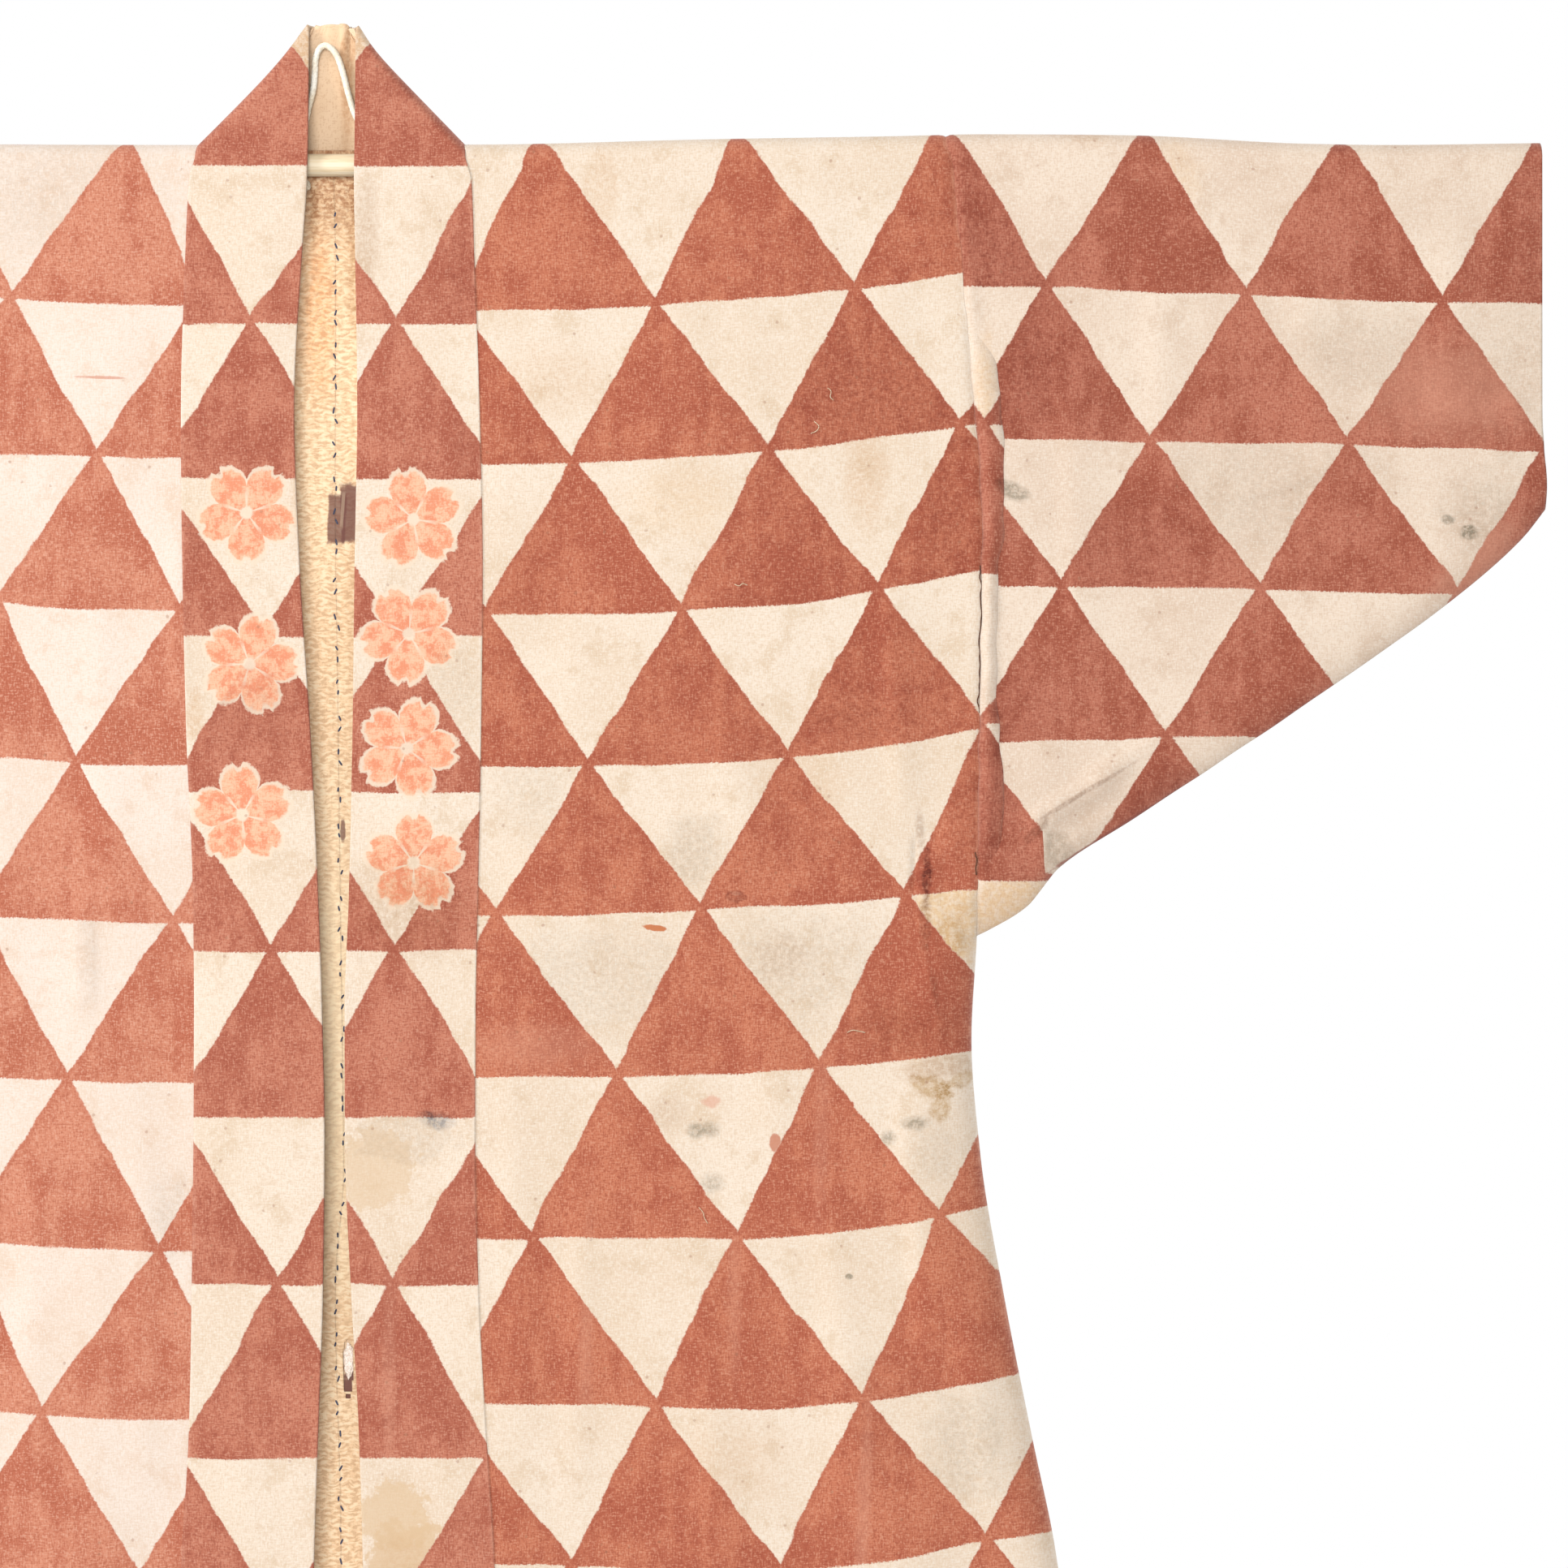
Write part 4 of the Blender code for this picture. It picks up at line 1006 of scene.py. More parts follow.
def blossoms(g, colour, cloth, ragged, weave):
    """Columns of five-petalled blossoms in faded orange with a cream rim, down both ends of the collar."""
    x, v = g.split(cloth)
    right = g.math("GREATER_THAN", x, 0.0)
    is_neck = g.math("GREATER_THAN", x, NECK_MAP_SHIFT / 2)

    def either(column, metres):
        left, other = (float(metres(row[column])) for row in (BLOSSOMS_LEFT, BLOSSOMS_RIGHT))
        return left + right * (other - left)

    middle, top, count = either(0, pixel_x), either(1, pixel_z), either(3, float)
    pitch = either(2, lambda pixels: pixels * PIXEL)
    down = g.math("DIVIDE", top - v, pitch) + 0.5
    number = g.math("FLOOR", down)
    within = g.math("GREATER_THAN", down, 0.0) * g.math("LESS_THAN", down, count)
    within = within * (1.0 - is_neck)
    sway = g.math("SINE", number * 2.3 + right) * 0.0022
    across = x - middle - sway
    below = (down - number - 0.5) * pitch
    turn = (number + right * 0.5) * 0.9
    angle = g.math("ARCTAN2", across, below) + turn
    away = g.math("SQRT", across * across + below * below)
    petals = g.math("ABSOLUTE", g.math("COSINE", angle * 2.5))
    notch = g.span(petals, 0.965, 1.0) * 0.0028
    reach = 0.0142 + g.math("POWER", petals, 0.6) * 0.0118 - notch
    edge = away - reach + (ragged - 0.5) * 0.0036
    halo = g.span(edge, 0.003, 0.0016) * within
    fill = g.span(edge, 0.0006, -0.0012) * within
    valley = g.span(petals, 0.3, 0.1) * g.span(away, 0.015, 0.007)
    fill = fill * (1.0 - valley * 0.85)
    fill = fill * g.span(away + ragged * 0.002, 0.0036, 0.0052)
    colour = g.blend(halo * 0.88, colour, tone(250, 228, 203))
    faded = g.noise(cloth, 120, 3.0, 0.7, (2.0, 6.0, 0))
    orange = g.blend(g.span(faded, 0.40, 0.62), tone(254, 198, 160), tone(249, 164, 122))
    deep = g.span(edge, -0.001, -0.006) * g.span(faded, 0.46, 0.62)
    orange = g.blend(deep * 0.55, orange, tone(240, 132, 92))
    orange = g.blend(g.span(weave, 0.50, 0.40, 0.0, 0.45), orange, tone(243, 148, 106))
    orange = g.blend(g.span(weave, 0.52, 0.62, 0.0, 0.35), orange, tone(255, 214, 184))
    return g.blend(fill * 0.92, colour, orange)


def plain_cloth(name, tones, mark_rows=(), crinkle=0.0):
    """Undyed cotton in light, middle and darker tones, smooth or crinkled in fine rows; on crinkled cloth the darker
    tone is painted shade in the troughs and a fourth, lighter tone painted light on the ridges.
    """
    g = Graph(name, sheen=0.05)
    cloth = g.uv("cloth")
    weave = threads(g, cloth)
    cloud = g.noise(cloth, 14, 3.0, 0.6)
    mottle = g.noise(cloth, 110, 3.0, 0.65, (4.0, 8.0, 0))
    ragged = g.noise(cloth, 330, 2.0, 0.7)
    colour = g.blend(g.span(cloud, 0.38, 0.64), tones[0], tones[1])
    colour = g.blend(g.span(weave, 0.50, 0.38, 0.0, 0.45), colour, tones[2])
    height = weave
    if crinkle:
        x, v = g.split(cloth)
        bent = g.noise(cloth, (90, 60, 1), 2.0, 0.6)
        wavy = g.join(x, v + bent * 0.005)
        ridge = g.noise(wavy, (240, 640, 1), 1.0, 0.5)
        # Painted light on the crinkles' ridges and painted shade in their troughs
        colour = g.blend(g.span(ridge, 0.52, 0.66, 0.0, crinkle), colour, tones[3])
        colour = g.blend(g.span(ridge, 0.48, 0.36, 0.0, crinkle), colour, tones[2])
        height = ridge * 1.4 + weave
    blot = (mottle - 0.5) * 1.2 + (ragged - 0.5) * 0.4
    broken = g.span(ragged, 0.36, 0.62, 0.45, 1.0)
    # Stains, and the painted light and shade listed with them
    for row_of in mark_rows:
        colour = tinted_blot(g, colour, cloth, blot, None, row_of, broken)
    if crinkle:
        for row_of in LINING_PATCHES:
            colour = tinted_blot(g, colour, cloth, blot * 0.35, None, row_of, broken, square=True)
        # Darker and flecked towards the top of the lining
        toward_top = g.span(v, float(pixel_z(330)), float(pixel_z(215)), 0.0, 1.0)
        fleck_share = g.span(ragged, 0.42, 0.60, 0.30, 0.75)
        colour = g.blend(toward_top * fleck_share, colour, wash(186, 140, 112)[1], "MULTIPLY")
    g.bump(height, 0.40, 0.0006 if crinkle else 0.0004)
    return g.finish(colour)


TAN = wash(226, 186, 144)
YELLOWED = wash(240, 204, 158)
BROWN = wash(208, 172, 122)
GREY = wash(212, 194, 172)
DARK_GREY = wash(158, 146, 124)
# Real soiling, and painted shade at the top of a fold and along the lining's edges beside the collar
SOIL_AND_SHADE = wash(200, 164, 128)
# Painted shade: darkens the red in patches beside folds and creases, by the sleeve seam and near the collar's edges
PAINTED_SHADE = wash(214, 180, 160)
# Painted shade along creases of the cloth
CREASE_SHADE = wash(176, 146, 122)
PATCH = cover(230, 198, 158)
SHADED = wash(150, 104, 86)
# Faded dye, and in thin upright strips painted highlights along the ridges of soft folds
FADED_AND_HIGHLIGHT = cover(232, 170, 142)
PURPLE = cover(152, 100, 92)
BLUSH = wash(250, 200, 160)
SPECK = tone(168, 118, 92)

# Dark and light dye, pale flecks, dark threads
RED_TONES = tones((186, 98, 71), (209, 125, 93), (230, 166, 136), (158, 74, 52))
# Painted light and shade: the left front's tones are lighter, and the sleeve's darker, than the right front's, for
# light falling from the left
LEFT_LIT_RED_TONES = tones((198, 112, 84), (221, 144, 114), (240, 184, 158), (172, 90, 64))
SLEEVE_SHADED_RED_TONES = tones((172, 90, 66), (199, 120, 95), (220, 156, 130), (146, 68, 50))
COLLAR_RED_TONES = tones((182, 99, 75), (207, 129, 102), (226, 164, 138), (154, 74, 56))
# Clean and darker cloth, blotches, dark and light threads
CREAM_TONES = tones((250, 231, 210), (244, 222, 198), (232, 206, 176), (226, 198, 168), (255, 244, 229))
# Painted light and shade: the left front's tones are lighter, and the sleeve's darker, than the right front's, for
# light falling from the left
LEFT_LIT_CREAM_TONES = tones((251, 233, 218), (246, 225, 207), (240, 213, 190), (234, 206, 180), (255, 243, 232))
SLEEVE_SHADED_CREAM_TONES = tones((250, 229, 208), (241, 217, 195), (230, 203, 178), (222, 195, 170), (255, 242, 226))

# Stains, and painted shade and highlights, in the photograph's pixels: middle, half width, half height, turn in
# degrees, softness of the edge, strength, tint, and whether on the red, the cream or all of it
# Painted shade darkens the cloth beside the armpit's fold, along its creases and by the sleeve seam; thin upright
# paler strips on the red are painted highlights along soft folds
RIGHT_STAINS_AND_SHADE = (
    (1170, 1130, 46, 66, 0, 0.6, 0.85, YELLOWED, "cream"), (1168, 1160, 18, 34, 10, 0.5, 0.45, BROWN, "cream"),
    (1148, 1340, 25, 14, 24, 0.4, 0.72, BROWN, "cream"), (1159, 1357, 12, 25, 8, 0.4, 0.72, BROWN, "cream"),
    (1184, 1331, 19, 10, -22, 0.5, 0.62, BROWN, "cream"), (1160, 1314, 46, 15, -8, 1.0, 0.6, SOIL_AND_SHADE, "cream"),
    (1128, 1384, 15, 8, 0, 1.2, 0.75, DARK_GREY, "cream"), (1095, 1402, 9, 8, 0, 1.2, 0.65, DARK_GREY, "cream"),
    (1150, 1420, 30, 36, 0, 1.2, 0.35, GREY, "cream"), (875, 1357, 12, 7, 0, 0.6, 0.6, FADED_AND_HIGHLIGHT, "cream"),
    (858, 1393, 9, 9, 0, 1.2, 0.75, DARK_GREY, "cream"), (874, 1391, 11, 9, 0, 1.2, 0.55, DARK_GREY, "cream"),
    (877, 1458, 12, 11, 0, 1.3, 0.5, DARK_GREY, "cream"), (820, 1372, 26, 22, 0, 1.3, 0.35, SOIL_AND_SHADE, "cream"),
    (955, 1408, 7, 11, 0, 0.3, 0.85, cover(208, 130, 98), "cream"), (740, 1210, 130, 66, 0, 1.0, 0.42, GREY, "cream"),
    (985, 1190, 96, 70, 0, 1.1, 0.42, GREY, "cream"), (962, 1180, 30, 28, 0, 1.1, 0.35, SOIL_AND_SHADE, "cream"),
    (854, 1050, 34, 44, 20, 1.0, 0.6, GREY, "cream"), (740, 235, 22, 44, 0, 0.5, 0.35, TAN, "cream"),
    (690, 470, 60, 40, 0, 1.2, 0.3, TAN, "cream"), (1068, 590, 26, 60, 0, 0.9, 0.4, TAN, "cream"),
    (840, 620, 60, 40, 0, 1.2, 0.3, YELLOWED, "cream"), (980, 980, 50, 60, 0, 1.2, 0.3, TAN, "cream"),
    (655, 970, 44, 60, 0, 1.2, 0.35, GREY, "cream"), (1190, 1780, 44, 66, 0, 1.0, 0.55, GREY, "cream"),
    (1120, 1690, 60, 26, 0, 1.0, 0.35, GREY, "cream"), (905, 1795, 60, 50, 0, 1.3, 0.28, TAN, "cream"),
    (1046, 1572, 5, 4, 0, 0.5, 0.8, DARK_GREY, "cream"), (805, 1143, 13, 4, 6, 0.3, 0.9, cover(206, 112, 52), "all"),
    (907, 1104, 14, 7, 0, 0.3, 0.5, wash(150, 90, 76), "all"),
    (907, 1101, 6, 2, 0, 0.6, 0.25, cover(226, 170, 142), "all"), (1170, 700, 34, 200, 0, 1.2, 0.4, PAINTED_SHADE, "red"),
    (1170, 260, 34, 90, 0, 1.0, 0.5, PAINTED_SHADE, "red"), (1060, 880, 70, 24, 0, 1.2, 0.35, PAINTED_SHADE, "red"),
    (1190, 1000, 16, 70, 0, 0.8, 0.55, PAINTED_SHADE, "red"), (1140, 1080, 9, 34, 0, 0.6, 0.8, PAINTED_SHADE, "red"),
    (1142, 1080, 5, 32, 2, 0.7, 0.85, SHADED, "all"), (1140, 1135, 7, 30, 2, 1.0, 0.6, CREASE_SHADE, "all"),
    (1134, 1030, 5, 30, -4, 1.2, 0.45, CREASE_SHADE, "all"), (1150, 1215, 4, 40, -10, 1.2, 0.35, CREASE_SHADE, "all"),
    (1090, 1260, 90, 40, 0, 1.3, 0.4, PAINTED_SHADE, "red"), (1115, 1270, 44, 30, 0, 1.3, 0.3, SOIL_AND_SHADE, "red"),
    (1060, 640, 170, 330, 0, 1.2, 0.55, PAINTED_SHADE, "red"), (900, 920, 200, 160, 0, 1.2, 0.3, PAINTED_SHADE, "red"),
    (1080, 470, 150, 70, 0, 1.3, 0.45, PAINTED_SHADE, "red"), (640, 700, 60, 160, 0, 1.3, 0.3, PAINTED_SHADE, "red"),
    (1120, 1750, 90, 60, 0, 1.3, 0.3, PAINTED_SHADE, "red"), (722, 1660, 8, 150, 2, 1.3, 0.2, FADED_AND_HIGHLIGHT, "red"),
    (1064, 1860, 8, 120, 2, 1.3, 0.24, FADED_AND_HIGHLIGHT, "red"), (1012, 1400, 9, 90, 2, 1.3, 0.16, FADED_AND_HIGHLIGHT, "red"),
    (905, 1600, 8, 90, 0, 1.3, 0.16, FADED_AND_HIGHLIGHT, "red"), (660, 1290, 70, 26, 0, 1.3, 0.2, FADED_AND_HIGHLIGHT, "red"),
)
# The first row is painted shade: it darkens the top left of the cream, where the key lamp falls strongest
LEFT_STAINS_AND_SHADE = (
    (50, 230, 130, 90, 0, 1.3, 0.35, GREY, "cream"), (215, 1500, 24, 50, 0, 1.0, 0.4, GREY, "cream"),
    (108, 1170, 14, 70, 0, 1.0, 0.3, GREY, "cream"), (125, 465, 32, 2, 2, 0.6, 0.6, cover(214, 130, 96), "cream"),
    (205, 1150, 10, 10, 0, 0.8, 0.5, GREY, "cream"), (90, 700, 40, 40, 0, 1.2, 0.25, YELLOWED, "cream"),
)
# Painted shade darkens the red beside the sleeve seam and along the crease near the armpit, and two thin lines are
# painted shade in creases
SLEEVE_STAINS_AND_SHADE = (
    (1246, 604, 20, 10, 25, 0.8, 0.75, DARK_GREY, "all"), (1830, 630, 46, 46, -20, 1.0, 0.55, GREY, "cream"),
    (1812, 656, 12, 8, 0, 0.6, 0.85, DARK_GREY, "cream"), (1786, 640, 8, 6, 0, 0.6, 0.7, DARK_GREY, "cream"),
    (1560, 610, 130, 66, 0, 1.2, 0.42, GREY, "cream"), (1700, 430, 120, 50, 0, 1.2, 0.35, GREY, "cream"),
    (1450, 230, 30, 50, 0, 1.0, 0.35, YELLOWED, "cream"), (1340, 175, 30, 16, 0, 1.0, 0.35, TAN, "cream"),
    (1302, 1046, 20, 22, 0, 0.9, 0.9, GREY, "cream"), (1334, 977, 76, 2.4, -31, 0.9, 0.6, CREASE_SHADE, "all"),
    (1278, 1022, 22, 6, -50, 0.9, 0.6, CREASE_SHADE, "all"), (1245, 1125, 56, 46, 0, 0.7, 0.85, YELLOWED, "cream"),
    (1214, 480, 12, 60, 0, 1.0, 0.55, YELLOWED, "cream"), (1250, 420, 44, 120, 0, 1.2, 0.5, PAINTED_SHADE, "red"),
    (1262, 315, 50, 60, 0, 1.2, 0.35, PAINTED_SHADE, "red"), (1320, 460, 80, 90, 0, 1.3, 0.35, PAINTED_SHADE, "red"),
    (1400, 670, 90, 60, 0, 1.3, 0.45, PAINTED_SHADE, "red"), (1369, 1024, 84, 2.6, -32.5, 0.6, 0.8, cover(156, 76, 58), "all"),
    (1200, 260, 26, 110, 0, 1.2, 0.6, PAINTED_SHADE, "red"), (1232, 960, 18, 70, 0, 0.9, 0.65, PAINTED_SHADE, "red"),
    (1215, 1030, 10, 40, 0, 0.8, 0.6, PAINTED_SHADE, "red"), (1395, 985, 34, 18, -30, 0.9, 0.65, PAINTED_SHADE, "red"),
    (1440, 960, 20, 24, -30, 0.9, 0.45, PAINTED_SHADE, "red"), (1250, 880, 40, 60, 0, 1.2, 0.4, PAINTED_SHADE, "red"),
    (1880, 420, 34, 220, 0, 1.3, 0.3, GREY, "all"), (1790, 480, 100, 60, 0, 1.3, 0.35, FADED_AND_HIGHLIGHT, "red"),
    (1820, 690, 30, 60, 40, 1.0, 0.4, FADED_AND_HIGHLIGHT, "red"),
)
# Painted shade darkens the red in patches, mostly near the collar's outer edges; the thin upright paler strip on the
# red is a painted highlight along a soft fold
COLLAR_STAINS_AND_SHADE = (
    (486, 1866, 44, 42, 0, 0.16, 0.7, PATCH, "cream"), (504, 1925, 50, 52, 20, 0.16, 0.72, PATCH, "cream"),
    (500, 1935, 40, 44, 0, 1.2, 0.3, TAN, "cream"), (462, 1440, 50, 48, -30, 0.16, 0.5, PATCH, "cream"),
    (500, 1400, 60, 34, 0, 0.3, 0.35, GREY, "cream"), (538, 1380, 18, 10, 10, 1.2, 0.75, wash(150, 148, 150), "all"),
    (528, 1374, 8, 5, 0, 0.6, 0.6, wash(140, 138, 146), "all"), (450, 290, 14, 70, 0, 1.2, 0.45, SOIL_AND_SHADE, "cream"),
    (380, 250, 7, 60, 0, 0.9, 0.5, SOIL_AND_SHADE, "cream"), (372, 600, 14, 60, 0, 0.9, 0.45, TAN, "cream"),
    (240, 880, 12, 30, 0, 0.7, 0.5, TAN, "cream"), (560, 850, 34, 60, 0, 1.2, 0.35, GREY, "cream"),
    (500, 1120, 70, 60, 0, 1.1, 0.45, SOIL_AND_SHADE, "all"), (370, 40, 22, 52, 0, 0.3, 0.85, TAN, "cream"),
    (446, 36, 22, 52, 0, 0.3, 0.85, TAN, "cream"), (310, 880, 70, 50, 0, 1.2, 0.45, PAINTED_SHADE, "red"),
    (240, 640, 16, 60, 0, 1.0, 0.5, PAINTED_SHADE, "red"), (575, 560, 16, 60, 0, 1.0, 0.45, PAINTED_SHADE, "red"),
    (570, 330, 20, 60, 0, 1.0, 0.45, PAINTED_SHADE, "red"), (500, 90, 40, 40, 0, 1.0, 0.4, PAINTED_SHADE, "red"),
    (480, 1700, 8, 120, 0, 1.3, 0.18, FADED_AND_HIGHLIGHT, "red"),
)
# Painted shade darkens the lining just under the collar, in a thin line along its seam with the collar and along both
# edges beside the collar's flaps; the large pale patch down the middle is painted light where the gap between the
# flaps narrows
LINING_STAINS_LIGHT_AND_SHADE = (
    (388, 380, 20, 90, 0, 1.1, 0.75, BLUSH, "all"), (408, 196, 40, 22, 0, 0.7, 0.6, SOIL_AND_SHADE, "all"),
    (434, 300, 10, 120, 0, 1.0, 0.7, SOIL_AND_SHADE, "all"), (382, 262, 6, 40, 0, 1.0, 0.55, SOIL_AND_SHADE, "all"),
    (408, 250, 34, 26, 0, 1.2, 0.35, SOIL_AND_SHADE, "all"), (430, 700, 8, 160, 0, 1.0, 0.3, SOIL_AND_SHADE, "all"),
    (408, 1300, 34, 260, 0, 1.2, 0.4, ("MIX", tone(254, 226, 190, 1.1)), "all"),
    (417, 1024, 3, 13, 0, 0.5, 0.8, PURPLE, "all"), (408, 177, 60, 2, 0, 0.8, 0.8, cover(110, 76, 54), "all"),
)
LINING_PATCHES = (
    (410, 637, 11, 31, 3, 0.25, 0.85, PURPLE, "all"), (428, 630, 13, 35, -2, 0.25, 0.9, PURPLE, "all"),
    (438, 636, 4, 19, 0, 0.3, 0.9, cover(196, 84, 66), "all"),
    (417, 625, 2, 22, 4, 0.4, 0.6, cover(232, 200, 170), "all"),
)
# Painted shade: darker lines in the pressed creases behind the neck and a darker band beside them
BAND_REVERSE_CREASE_SHADE = (
    (1640, 29, 90, 8, 0, 0.8, 0.55, wash(196, 150, 106), "all"),
    (1640, -25, 60, 3, 0, 0.8, 0.45, wash(196, 150, 106), "all"),
    (1600, 20, 30, 3, 0, 0.8, 0.5, wash(196, 150, 106), "all"),
)

# The camera: straight on, framed as in the photograph
centre_x, centre_z = float(pixel_x(PHOTO_SIDE / 2)), float(pixel_z(PHOTO_SIDE / 2))
frame_width = PHOTO_SIDE * PIXEL
lens_data = bpy.data.cameras.new("camera")
lens_data.lens = 100
lens_data.sensor_width = 36
camera = add_object("camera", lens_data)
camera.location = (centre_x, FRONT_Y - frame_width * lens_data.lens / lens_data.sensor_width, centre_z)
camera.rotation_euler = (math.pi / 2, 0, 0)
bpy.context.scene.camera = camera

# Cord loop with its two knots
g = Graph("cotton cord", roughness=0.85)
cord_place = g.place()
fibres = g.noise(cord_place, 900, 2.0, 0.6, flat=False)
worn_cord = g.noise(cord_place, 60, 2.0, 0.5, flat=False)
cord_colour = g.blend(g.span(worn_cord, 0.4, 0.7), tone(255, 251, 238, 0.6), tone(246, 232, 206, 0.6))
cord_colour = g.blend(g.span(fibres, 0.55, 0.35, 0.0, 0.35), cord_colour, tone(216, 192, 158))
g.bump(fibres, 0.4, 0.0004)
cord_material = g.finish(cord_colour)
route, cord_length = smooth_route(CORD_ROUTE, 110)
cord_mesh = tube("coat_cord", route, CORD_RADIUS, 18, twist=900.0, bulge=0.16)
cord = add_piece("coat_cord", cord_mesh, [cord_material], "cord")
for word, x in (("left", CORD_ROUTE[0][0]), ("right", CORD_ROUTE[-1][0])):
    t = np.linspace(0, 2 * math.pi, 73)
    shape = np.stack([np.sin(t) + 2 * np.sin(2 * t), np.cos(t) - 2 * np.cos(2 * t), -1.6 * np.sin(3 * t)], axis=-1)
    knot = tube("coat_knot_" + word, np.array([x, 0.0, KNOT_Z]) + shape * KNOT_SIZE, KNOT_STRAND, 12)
    add_piece("coat_knot_" + word, knot, [cord_material], "knot_" + word)

# Cloth
hidden_side = tones((240, 212, 180), (230, 200, 166), (210, 176, 142), gain=0.8)
reverse = plain_cloth("reverse of the cloth", hidden_side, ((430, -1374, 16, 34, 0, 0.5, 0.95, PURPLE, "all"),))
sleeve_reverse = plain_cloth("reverse of the sleeve", hidden_side)
band_reverse = plain_cloth(
    "plain side of the collar",
    tones((240, 208, 174), (230, 196, 160), (206, 168, 132), gain=0.62),
    BAND_REVERSE_CREASE_SHADE,
)
# Painted light: the lining's tones carry a gain of 0.80, near twice the outer cloth's, to lift it out of the shade
# between the collar's flaps
lit_lining_material = plain_cloth(
    "crinkled lining",
    tones((248, 216, 176), (240, 204, 163), (208, 168, 130), (255, 236, 202), gain=0.80),
    LINING_STAINS_LIGHT_AND_SHADE,
    crinkle=0.60,
)
right_material = dyed_cloth("dyed cloth right", RED_TONES, CREAM_TONES, RIGHT_STAINS_AND_SHADE)
# The left front's cloth is painted lighter and the sleeve's darker, as painted light and shade
lit_left_material = dyed_cloth("dyed cloth left painted lighter", LEFT_LIT_RED_TONES, LEFT_LIT_CREAM_TONES, LEFT_STAINS_AND_SHADE)
shaded_sleeve_material = dyed_cloth("dyed sleeve painted darker", SLEEVE_SHADED_RED_TONES, SLEEVE_SHADED_CREAM_TONES, SLEEVE_STAINS_AND_SHADE)
collar_material = dyed_cloth("dyed collar", COLLAR_RED_TONES, CREAM_TONES, COLLAR_STAINS_AND_SHADE, blossoms)

for side, word, table, material in (
    (1, "right", RIGHT_DYE, right_material),
    (-1, "left", LEFT_DYE, lit_left_material),
):
    body = body_cloth(side, word, table, [material, reverse])
    tucks = [tuck_cloth(side, word, face, [shaded_sleeve_material]) for face in ("front", "back")]
    sleeve = sleeve_cloth(side, word, [shaded_sleeve_material, sleeve_reverse])
    lining = lining_cloth(side, word, lit_lining_material)
collar = collar_band([collar_material, band_reverse])

# Small things sewn or caught on the cloth
def thread_piece(name, routes, radius, material, sides=6):
    """Several bits of thread in one piece."""
    bits = bmesh.new()
    for route in routes:
        bits.from_mesh(tube(name + "_bit", route, radius, sides))
    mesh = bpy.data.meshes.new(name)
    bits.to_mesh(mesh)
    bits.free()
    add_piece(name, mesh, [material])


def thread_material(name, light, dark):
    g = Graph(name, roughness=0.8)
    twist = g.noise(g.place(), 1800, 1.0, 0.5, flat=False)
    return g.finish(g.blend(g.span(twist, 0.4, 0.6), light, dark))


blue_thread = thread_material("dark blue thread", tone(118, 122, 148), tone(84, 88, 116))
brown_thread = thread_material("brown thread", tone(128, 84, 60), tone(84, 52, 40))
pale_thread = thread_material("pale thread", tone(250, 226, 196), tone(228, 194, 158))

draw = np.random.default_rng(21)
stitches = []
y_pixel = 258.0
while pixel_z(y_pixel) > LINING_HEM_Z + 0.02:
    for pixel in (y_pixel, y_pixel + draw.uniform(11, 15)):
        z = float(pixel_z(pixel))
        x = float(read(LINING_SEAM, SEAM_COLUMNS, "x", z)) + draw.uniform(-0.0010, 0.0010)
        out = float(body_depth(1, "back", abs(x), z)) - LINING_INSET - LINING_CLOTH / 2
        lean, half = draw.uniform(-0.6, 0.6), draw.uniform(0.0011, 0.0018)
        step = np.array([half * math.sin(lean), 0.0, half * math.cos(lean)])
        middle = np.array([x, out, z])
        sunk = np.array([0.0, STITCH_SUNK, 0.0])
        route = [middle - step + sunk, middle - 0.6 * step, middle, middle + 0.6 * step, middle + step + sunk]
        stitches.append(route)
    y_pixel += draw.uniform(38, 48)
thread_piece("coat_lining_stitches", stitches, 0.00050, blue_thread)


def on_front(px, py, height):
    """A point this far over the right front, at a place of the photograph."""
    x, z = float(pixel_x(px)), float(pixel_z(py))
    return (x, -float(body_depth(1, "front", x, z)) - BODY_CLOTH / 2 - height, z)


loose = (
    ((1044, 1272), (1050, 1269), (1057, 1270), (1066, 1272)),
    ((861, 1487), (866, 1493), (868, 1500), (872, 1507)),
    ((999, 534), (1006, 531), (1009, 525), (1003, 519)),
    ((1020, 478), (1024, 482), (1023, 489), (1027, 493)),
    ((905, 720), (911, 722), (915, 719), (921, 721)),
    ((1174, 1338), (1180, 1336), (1184, 1340), (1190, 1338)),
)
lifts = (0.0001, 0.0006, 0.0005, 0.0001)
routes = [smooth_route([on_front(x, y, lift) for (x, y), lift in zip(line, lifts)], 12)[0] for line in loose]
thread_piece("coat_loose_threads", routes, 0.00022, pale_thread)

SEAM_THREADS = ((-0.214, -0.292), (-0.366, -0.378))
routes = []
for high, low in SEAM_THREADS:
    down = np.linspace(high, low, 60)
    x = seam_x(down) - 0.0005 + 0.0007 * ripple(5 * down, down, 51, 5, 0.05, 1.0)
    out = sleeve_depth(1, "front", (x - seam_x(down)) / (CUFF_X - seam_x(down)), down) + SLEEVE_CLOTH / 2
    routes.append(np.stack([x, -out - SEAM_THREAD_OUT, down], axis=-1))
thread_piece("coat_seam_thread", routes, 0.00034, brown_thread)

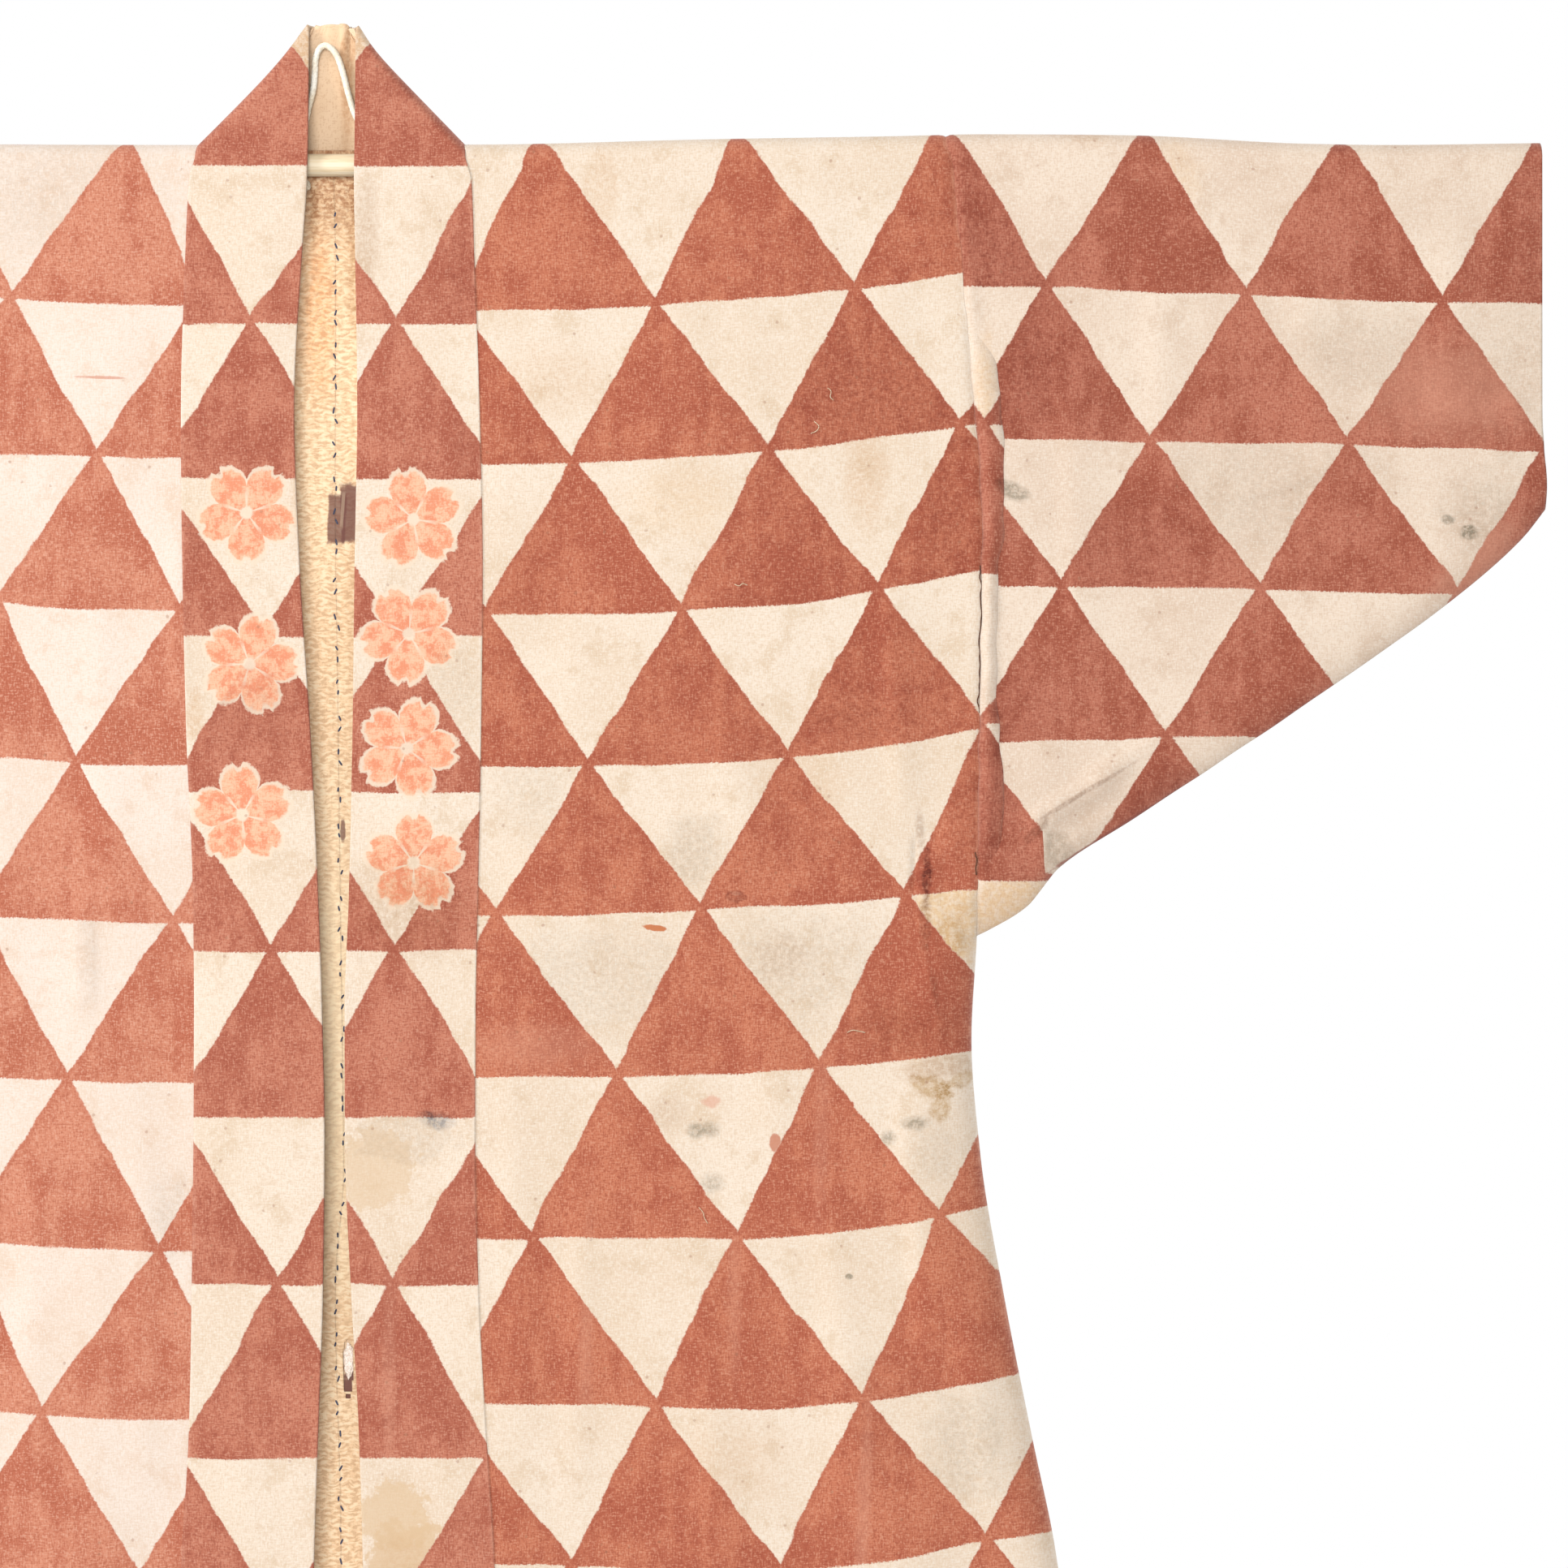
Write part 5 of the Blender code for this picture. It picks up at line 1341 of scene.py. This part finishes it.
# A tuft of wadding in the rip of the lining
draw = np.random.default_rng(8)
tuft_mesh = bmesh.new()
bmesh.ops.create_icosphere(tuft_mesh, subdivisions=4, radius=1.0)
tuft_x, tuft_z = float(pixel_x(TUFT_PIXEL[0])), float(pixel_z(TUFT_PIXEL[1]))
tuft_middle = (tuft_x, float(body_depth(1, "back", tuft_x, tuft_z)) - LINING_INSET + LINING_CLOTH / 2, tuft_z)
waves = draw.normal(size=(14, 3)) * 5
phases = draw.uniform(0, 2 * math.pi, 14)
for vertex in tuft_mesh.verts:
    lumps = sum(math.sin(wave @ vertex.co + phase) for wave, phase in zip(waves, phases)) / 14
    vertex.co = [at + size * way * (1 + 0.5 * lumps) for at, size, way in zip(tuft_middle, TUFT_SIZE, vertex.co)]
tuft_data = bpy.data.meshes.new("coat_wadding")
tuft_mesh.to_mesh(tuft_data)
tuft_mesh.free()
g = Graph("cotton wadding", roughness=1.0, sheen=0.2)
fluff = g.noise(g.place(), 1400, 3.0, 0.7, flat=False)
g.bump(fluff, 0.8, 0.0008)
fluff_material = g.finish(g.blend(g.span(fluff, 0.4, 0.6), tone(255, 246, 236, 1.0), tone(226, 206, 188, 1.0)))
add_piece("coat_wadding", tuft_data, [fluff_material])

# Wood of the rod
g = Graph("pale wood", roughness=0.5)
wood_place = g.place()
grain = g.noise(wood_place, (14, 420, 420), 4.0, 0.6, flat=False)
pores = g.noise(wood_place, (90, 2200, 2200), 2.0, 0.5, flat=False)
wood = g.blend(g.span(grain, 0.35, 0.68), tone(255, 240, 210, 0.52), tone(248, 222, 180, 0.50))
wood = g.blend(g.span(pores, 0.42, 0.30, 0.0, 0.4), wood, tone(200, 154, 108))
g.bump(grain, 0.15, 0.0003)
wood_material = g.finish(wood)
for slot_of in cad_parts["rod"].material_slots:
    slot_of.material = wood_material

# Floor, light and background
g = Graph("pale floor", roughness=0.9)
floor_tone = g.noise(g.place(), 3.0, 2.0, 0.5)
floor_material = g.finish(g.blend(floor_tone, (0.76, 0.75, 0.74, 1), (0.80, 0.79, 0.78, 1)))
floor_mesh = bpy.data.meshes.new("floor")
floor_z, reach = HEM_Z - FLOOR_DROP, FLOOR_REACH
corners = [(-reach, -reach, floor_z), (reach, -reach, floor_z), (reach, reach, floor_z), (-reach, reach, floor_z)]
floor_mesh.from_pydata(corners, [], [(0, 1, 2, 3)])
floor_mesh.materials.append(floor_material)
add_object("floor", floor_mesh)

world = bpy.data.worlds.new("studio")
world.use_nodes = True
world.node_tree.nodes["Background"].inputs["Color"].default_value = (1.0, 1.0, 1.0, 1.0)
world.node_tree.nodes["Background"].inputs["Strength"].default_value = 1.0
bpy.context.scene.world = world
LIGHTS_AIM = (0.1, 0.0, -0.35)
LIGHTS = (
    ("front", (-0.2, -3.0, 0.1), 1.2, 80.0), ("key", (-2.3, -1.5, 1.1), 0.8, 84.0),
    ("back_right", (2.0, 2.0, 1.0), 1.0, 70.0), ("back_left", (-1.2, 2.8, 0.3), 1.2, 66.0),
)
for name, place, size, power in LIGHTS:
    light_data = bpy.data.lights.new(name, "AREA")
    light_data.size = size
    light_data.energy = power
    light = add_object(name, light_data)
    light.location = place
    aim = np.array(LIGHTS_AIM) - np.array(place)
    light.rotation_euler = (
        math.atan2(math.hypot(aim[0], aim[1]), -aim[2]),
        0.0,
        math.atan2(aim[1], aim[0]) - math.pi / 2,
    )
bpy.context.scene.view_settings.view_transform = "Standard"
